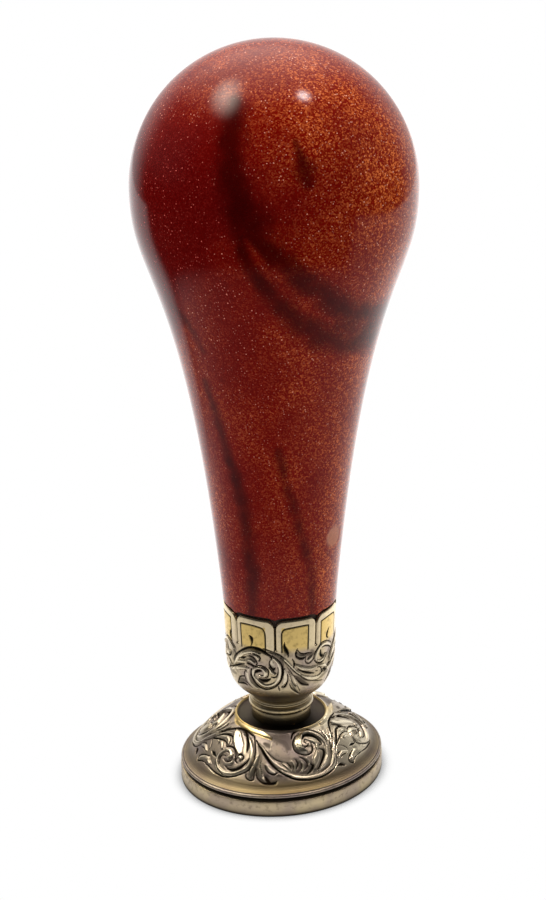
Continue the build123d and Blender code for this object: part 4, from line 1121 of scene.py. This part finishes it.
def base_dome():
    """The oval dome, chased with a scroll that runs three times round it, and its dished crown."""
    turn = all_round(DOME_COLUMNS)
    direction = np.radians(turn + FACING)
    share = np.linspace(0, 1, DOME_ROWS)

    def ring(long_half, wide_half, height):
        level = np.full(DOME_COLUMNS, height)
        return np.stack([long_half * np.cos(direction), wide_half * np.sin(direction), level], -1)

    def flat(degrees, share):
        # true lengths down the wall and round it
        reach = (CROWN_RADIUS + (CONE_FOOT - CROWN_RADIUS) * share) / CONE_TURN
        a = np.radians(degrees) * CONE_TURN
        return np.stack([reach * np.sin(a), -reach * np.cos(a)], -1)

    height, chased = chase_round(turn, share[:, None], flat, DOME_WORK, DOME_LIFT, DOME_CUT)
    outer = np.stack([ring(*dome_level(s, 0.0)) for s in share])
    # the ground lies a little below the reliefs, and rises to the border
    fade = ramp(np.minimum(share, 1 - share), 0, END_FADE)[:, None]
    sunk = GROUND_SUNK * np.minimum(ramp(share, 0, END_FADE), ramp(share, BORDER_TO, BORDER_FROM))[:, None]
    outer -= wall_normals(outer) * (height * fade - sunk)[..., None]
    hollow = CROWN_HEIGHT - HOLLOW
    dish = [(PEG_HOLE, hollow), (3.5, hollow), (4.4, hollow), (5.1, hollow + 0.02), (5.36, hollow + 0.1),
            (5.46, CROWN_HEIGHT - 0.06), (5.53, CROWN_HEIGHT + 0.02)]
    crown = [ring(radius, radius, z) for radius, z in dish]
    skirt = [ring(DOME_LONG, DOME_WIDE, z) for z in (REGISTER_TOP, GROOVE_TOP)]
    inner = [ring(DOME_LONG - WALL, DOME_WIDE - WALL, GROOVE_TOP)]
    inner += [ring(*dome_level(s, WALL)) for s in np.linspace(1, 0.02, DOME_INNER_ROWS)]
    inner += [ring(PEG_HOLE, PEG_HOLE, CROWN_HEIGHT - WALL)]
    rings = np.concatenate([crown, outer, skirt, inner])
    fields = dome_fields(turn, share, chased, rings.shape[:2], len(crown))
    return shell("chased_base_dome", rings, fields, crease=CHASED_CREASE)


def neck_ring():
    """The turned neck: a straight foot in the dome's hollow, a round bead, a fine line and a cove."""
    foot = [(3.65, CROWN_HEIGHT - HOLLOW), (3.65, 8.5), (3.65, 8.98)]
    bead = [(NECK_RADIUS + NECK_BEAD * math.sin(a), NECK_BEAD_UP - NECK_BEAD_HALF * math.cos(a))
            for a in np.linspace(0.1, math.pi - 0.1, 14)]
    line = [(3.62, 10.04), (3.72, 10.09), (3.72, 10.16), (3.62, 10.21)]
    cove = [(NECK_RADIUS + COVE_REACH * a ** 2, COVE_UP + COVE_RISE * a) for a in np.linspace(0, 1, 7)]
    top = [(3.88, NECK_TOP - 0.03), (3.86, NECK_TOP)]
    hole = [(PEG_HOLE, NECK_TOP), (PEG_HOLE, CROWN_HEIGHT - HOLLOW)]
    section = np.vstack([foot, bead, line, cove, top, hole])
    rings = oval_rings(section * (-1, 1), 0.0, 0.0, NECK_COLUMNS)
    # painted shade low in the hollow, dirt in the fine line, a dull cove, and black inside
    dark = np.zeros(rings.shape[:2])
    dark[:len(foot)] = np.array([0.9, 0.5, 0.15])[:, None]
    dark[len(foot) + len(bead)] = 0.8
    dark[len(foot) + len(bead) + len(line):] = 0.3
    dark[-len(hole):] = 1.0
    return shell("turned_neck_ring", rings, {"tarnish_and_shade": dark})


def rim_bead():
    """The flared border at the dome's foot, with a fine line and a round bead at its edge."""
    under = [(0.42, GROOVE_TOP), (0.2, GROOVE_TOP + 0.06)]
    bead = [(RIM_RADIUS - RIM_RADIUS * math.cos(a), RIM_UP + RIM_RADIUS * math.sin(a))
            for a in np.linspace(-1.3, 1.3, 11)]
    line = [(0.25, 2.79), (0.29, 2.8), (FLARE_INSET, FLARE_UP)]
    flare = [(FLARE_INSET + u, FLARE_UP + FLARE_SLOPE * u + FLARE_CURVE * u * u)
             for u in np.linspace(0.06, 0.97, 14)]
    inner = [(1.3, GROOVE_TOP)]
    rings = oval_rings(under + bead + line + flare + inner, BEAD_LONG, BEAD_WIDE, OVAL_COLUMNS)
    # painted shade under the bead, dirt in the fine line and in streaks up the flare, and gilding on the
    # flare with a painted golden reflection near the facing side
    dark, gild_and_sheen = np.zeros(rings.shape[:2]), np.zeros(rings.shape[:2])
    clean = [0.0] * (len(bead) - 3)
    streaks = [0.3, 0.5, 0.4, 0.5, 0.44, 0.38, 0.5, 0.42, 0.5, 0.46, 0.42, 0.4, 0.36, 0.32]
    dark += np.array([1.0, 1.0, 0.9, 0.6, 0.2, *clean, 0.6, 0.75, 0.3, *streaks, 1.0])[:, None]
    turn = from_facing(np.arange(OVAL_COLUMNS) / OVAL_COLUMNS * 360)
    gild_and_sheen[-len(flare) - 1:-1] = np.linspace(1.4, 0.75, len(flare))[:, None] * border_gilt_and_sheen(turn)
    return shell("turned_rim_bead", rings, {"tarnish_and_shade": dark, "gild_and_sheen": gild_and_sheen})


def matrix_plate():
    """The oval plate: a plain band, a groove under the bead, a register, a bare face with a border line."""
    c, soft = EDGE_CHAMFER, SOFT_EDGE
    border = BORDER_INSET + BORDER_WIDTH
    inside = PLATE_LONG - DOME_LONG + REGISTER_INSET
    face = [(FACE_INSET, 0.0), (border + soft, 0.0), (border, 0.02), (border - soft, BORDER_DEPTH),
            (BORDER_INSET + soft, BORDER_DEPTH), (BORDER_INSET, 0.02), (BORDER_INSET - soft, 0.0)]
    band = [(c, 0.0), (c * 0.3, c * 0.3), (0.0, c), (0.0, 0.4), (0.0, 0.8), (0.0, 1.2), (0.0, BAND_TOP - c),
            (c * 0.3, BAND_TOP - c * 0.3), (c, BAND_TOP)]
    groove = [(GROOVE_INSET - soft, BAND_TOP), (GROOVE_INSET, BAND_TOP + soft), (GROOVE_INSET, GROOVE_TOP),
              (inside, GROOVE_TOP), (inside, REGISTER_TOP), (FACE_INSET, REGISTER_TOP)]
    rings = oval_rings(face + band + groove, PLATE_LONG, PLATE_WIDE, OVAL_COLUMNS)
    # painted shade: a contact shadow at the band's lower edge, and shade in the groove under the bead
    dark = np.zeros(rings.shape[:2])
    dark[len(face):len(face) + 5] = np.array([1.0, 1.0, 0.9, 0.35, 0.12])[:, None]
    dark[-len(groove):] = 0.9
    return shell("matrix_plate_body", rings, {"tarnish_and_shade": dark}, caps=True)


glass = goldstone()
chased = gilt("gilt_metal_chased", "#c2b08e", "#a99889", gloss=0.34, wear=0.3)
# the dome and its bead: a rougher copy of the chased metal, whose darker colours are painted shade
domed_shaded = gilt("gilt_metal_chased_dull_shaded", "#9e907e", "#897c75", gloss=0.4, wear=0.35)
turned = gilt("gilt_metal_turned", "#c8b285", "#ac9c7e", gloss=0.3, wear=0.3)
plate = gilt("gilt_metal_plate_rubbed", "#c2b08e", "#a99884", gloss=0.42, wear=0.4)

dress(glass_handle(glass), glass, "goldstone_handle")
dress(lappet_cup(), chased, "lappet_cup")
dress(base_dome(), domed_shaded, "base_dome")
dress(neck_ring(), turned, "neck_ring")
dress(rim_bead(), domed_shaded, "rim_bead")
dress(matrix_plate(), plate, "matrix_plate")

# Pieces that hardly show keep their CAD shape
brass = ("#a98a4c", "#8a6d38")
kept = {
    "setting_cement": plain_fill("setting_cement_dark", "#2a1d14", "#3c2a1c", rough=0.8, metal=0.0),
    "base_filling": plain_fill("pitch_filling_poured", "#1b1512", "#2a211b", rough=0.6, metal=0.0),
    "handle_peg": plain_fill("brass_peg_turned", *brass, rough=0.35, metal=1.0),
    "peg_washer": plain_fill("brass_washer_stamped", *brass, rough=0.4, metal=1.0),
    "peg_nut": plain_fill("brass_nut_turned", *brass, rough=0.4, metal=1.0),
}
for name, material in kept.items():
    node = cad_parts[name]
    node.data.materials.clear()
    node.data.materials.append(material)


# Floor, light and camera, in metres

# How far the table reaches ahead of the stamp and behind, and to its sides, and how far it lies below it
TABLE_AHEAD, TABLE_BEHIND, TABLE_RIGHT, TABLE_LEFT, TABLE_DROP = 0.16, -1.0, 0.28, -0.3, 0.00002
SHADOW_REACH, SHADOW_SAMPLES = 2.2 * MM, 8
# The table's light in the glass: how it turns to the right and to the back, and its level
LIT_RIGHT, LIT_BACK, LIT_LEVEL = 0.17, 0.76, 1.02
# Direction of its dark edge, how soft that is, and where the table is lit all round
DARK_RIGHT, DARK_BACK, DARK_SOFT, DARK_LEVEL = 0.447, 0.894, 0.015, 0.04
ROUND_FAR, ROUND_NEAR = 0.104, 0.076
CLOSE_FAR, CLOSE_NEAR = 0.064, 0.042
# The backdrop's middle is a little to the side of the camera's line
BACKDROP_TURN = CAMERA_TURN - 3
# Millimetres up the glass from the shoulder to the widest ring of the bulb
BULB_CLIMB = 51.1


def aim(turn, rise):
    """Unit vector from the stamp towards a viewer at that turn and rise."""
    a, e = math.radians(turn), math.radians(rise)
    return Vector((math.sin(a) * math.cos(e), -math.cos(a) * math.cos(e), math.sin(e)))


# Level directions from the stamp: towards the camera, and to the camera's right
AHEAD = aim(CAMERA_TURN, 0.0)
ASIDE = Vector((-AHEAD.y, AHEAD.x, 0.0))


def table_top():
    """White matt table, white to the eye with a painted contact shadow. Mirrored in the glass it is
    brightest behind the stamp and at its right and dim in front, and past a slanting edge at the left it is
    dark."""
    material, add = new_material("table_white_matt")
    ray = add("LightPath").outputs
    seen = add("Math", [ray["Is Camera Ray"], ray["Is Glossy Ray"]], operation="MAXIMUM")
    seen = add("Math", [seen, ray["Is Transmission Ray"]], operation="MAXIMUM")
    # the painted shadow is made to fall forward, as if cast by the soft box behind
    near = add("AmbientOcclusion", {"Distance": SHADOW_REACH, "Normal": (Vector((0, 0, 1)) - AHEAD) * 0.7},
               samples=SHADOW_SAMPLES)
    shadow = add("MapRange", [near.outputs["AO"], 0.3, 0.8, 0.05, 1.0])
    place = add("TexCoord").outputs["Object"]
    reach = add("VectorMath", [place], operation="LENGTH")
    point = add("VectorMath", [place], operation="NORMALIZE")
    facing = add("VectorMath", [point, LIT_RIGHT * ASIDE - LIT_BACK * AHEAD], operation="DOT_PRODUCT")
    lit = add("Math", [facing, LIT_LEVEL])
    across = add("VectorMath", [place, DARK_RIGHT * ASIDE - DARK_BACK * AHEAD], operation="DOT_PRODUCT")
    within = add("MapRange", [across, -DARK_SOFT, DARK_SOFT, DARK_LEVEL, 1.0],
                 interpolation_type="SMOOTHSTEP")
    around = add("MapRange", [reach, ROUND_FAR, ROUND_NEAR], interpolation_type="SMOOTHSTEP")
    within = add("Math", [within, around], operation="MAXIMUM")
    fade = add("Math", [lit, within], operation="MULTIPLY")
    close = add("MapRange", [reach, CLOSE_FAR, CLOSE_NEAR], interpolation_type="SMOOTHSTEP")
    fade = add("Math", [fade, close], operation="MAXIMUM")
    fade = add("Mix", [ray["Is Camera Ray"], fade, 1.0])
    level = add("Math", [shadow, fade], operation="MULTIPLY")
    matt = add("BsdfDiffuse", {"Color": "#d8d8d6"})
    white = add("Emission", {"Color": "#ffffff", "Strength": level})
    add("OutputMaterial", {"Surface": add("MixShader", [seen, matt, white])})
    return material


def floor():
    """A table top that ends a little in front of the stamp."""
    ends = [(TABLE_AHEAD, TABLE_RIGHT), (TABLE_BEHIND, TABLE_RIGHT), (TABLE_BEHIND, TABLE_LEFT),
            (TABLE_AHEAD, TABLE_LEFT)]
    corners = [AHEAD * ahead + ASIDE * right - Vector((0, 0, TABLE_DROP)) for ahead, right in ends]
    mesh = bpy.data.meshes.new("floor")
    mesh.from_pydata(corners, [], [[0, 1, 2, 3]])
    mesh.materials.append(table_top())
    piece = new_object("floor", mesh)


def studio():
    """A white backdrop behind and a pale ceiling, with the dim room on the camera's side."""
    world = bpy.data.worlds.new("studio")
    bpy.context.scene.world = world
    world.use_nodes = True
    add = node_adder(world.node_tree)
    way = add("TexCoord").outputs["Generated"]
    ahead = add("VectorMath", [way, aim(BACKDROP_TURN, 0.0)], operation="DOT_PRODUCT")
    behind = add("MapRange", [ahead, -0.42, -0.8], interpolation_type="SMOOTHSTEP")
    dim = add("MapRange", [ahead, 0.0, 0.5], interpolation_type="SMOOTHSTEP")
    room = add("Mix", [dim, "#8c8a88", "#303030"], data_type="RGBA")
    # below the table's level the room is dark
    rise = add("VectorMath", [way, (0, 0, 1)], operation="DOT_PRODUCT")
    above = add("MapRange", [rise, -0.1, 0.2], interpolation_type="SMOOTHSTEP")
    room = add("Mix", [above, "#282828", room], data_type="RGBA")
    room = add("Mix", [behind, room, "#f2f2f2"], data_type="RGBA")
    # metal and glass mirror the room, matt surfaces get an even fill, and the eye sees white
    ray = add("LightPath").outputs
    mirrored = add("Math", [ray["Is Glossy Ray"], ray["Is Transmission Ray"]], operation="MAXIMUM")
    fill = add("Mix", [mirrored, "#d4d4d4", room], data_type="RGBA")
    shown = add("Mix", [ray["Is Camera Ray"], fill, "#ffffff"], data_type="RGBA")
    add("OutputWorld", {"Surface": add("Background", {"Color": shown, "Strength": 1.0})})


def lamp(name, place, target, size, power, colour):
    """A round or oval lamp with a diffuser that is bright in its middle and fades to its edge."""
    light = bpy.data.lights.new(name, "AREA")
    light.shape = "ELLIPSE"
    light.size, light.size_y = size
    light.energy = power
    light.color = linear(colour)[:3]
    light.use_nodes = True
    add = node_adder(light.node_tree)
    spot = add("NewGeometry").outputs["Parametric"]
    away = add("VectorMath", [spot, (0.5, 0.5, 0.0)], operation="DISTANCE")
    level = add("MapRange", [away, 0.5, 0.0, 0.0, 2.5], interpolation_type="SMOOTHSTEP")
    add("OutputLight", {"Surface": add("Emission", {"Strength": level})})
    holder = new_object(name, light)
    holder.location = place
    holder.rotation_euler = (target - place).to_track_quat("-Z", "Y").to_euler()


def mirrored_place(turn, up, distance):
    """Where a lamp stands so that the bulb mirrors it to the camera at a spot on its skin: degrees from
    the facing side, and millimetres up from the shoulder. Gives the lamp's place and that spot."""
    climb = (up - BULB_CLIMB) / BULB_RADIUS
    a = math.radians(turn + FACING)
    out = Vector((math.cos(climb) * math.cos(a), math.cos(climb) * math.sin(a), math.sin(climb)))
    spot = Vector((0, 0, BULB_CENTRE * MM)) + out * BULB_RADIUS * MM
    eye = Vector((0, 0, AIM_HEIGHT * MM)) + aim(CAMERA_TURN, CAMERA_RISE) * CAMERA_DISTANCE * MM
    view = (eye - spot).normalized()
    return spot + (2 * out.dot(view) * out - view) * distance, spot


def camera():
    """The camera of the photograph."""
    data = bpy.data.cameras.new("camera")
    data.lens = LENS
    data.sensor_width = SENSOR
    data.clip_start, data.clip_end = 0.01, 10.0
    back = aim(CAMERA_TURN, CAMERA_RISE)
    turn = (-back).to_track_quat("-Z", "Y").to_matrix().to_4x4()
    left = turn.to_3x3() @ Vector((-CAMERA_LEFT * MM, 0, 0))
    place = Vector((0, 0, AIM_HEIGHT * MM)) + back * CAMERA_DISTANCE * MM + left
    holder = new_object("camera", data)
    holder.matrix_world = Matrix.Translation(place) @ turn @ Matrix.Rotation(CAMERA_ROLL, 4, "Z")
    bpy.context.scene.camera = holder


# The soft box stands behind, high up; the two smaller lamps are seen mirrored in the bulb
SOFT_BOX_PLACE, SOFT_BOX_TARGET = aim(CAMERA_TURN + 194, 66) * 0.8, Vector((0, 0, 0.05))
LAMPS_AWAY = 0.6

floor()
studio()
lamp("soft_box", SOFT_BOX_PLACE, SOFT_BOX_TARGET, size=(1.4, 1.4), power=7.2, colour="#fff8ee")
lamp("ceiling_lamp", *mirrored_place(turn=-26, up=64.5, distance=LAMPS_AWAY), size=(0.5, 0.28), power=3.2,
     colour="#f6f2e2")
lamp("small_lamp", *mirrored_place(turn=17, up=64.6, distance=LAMPS_AWAY), size=(0.14, 0.12), power=1.3,
     colour="#fff4f2")
camera()
bpy.context.scene.view_settings.view_transform = "Standard"
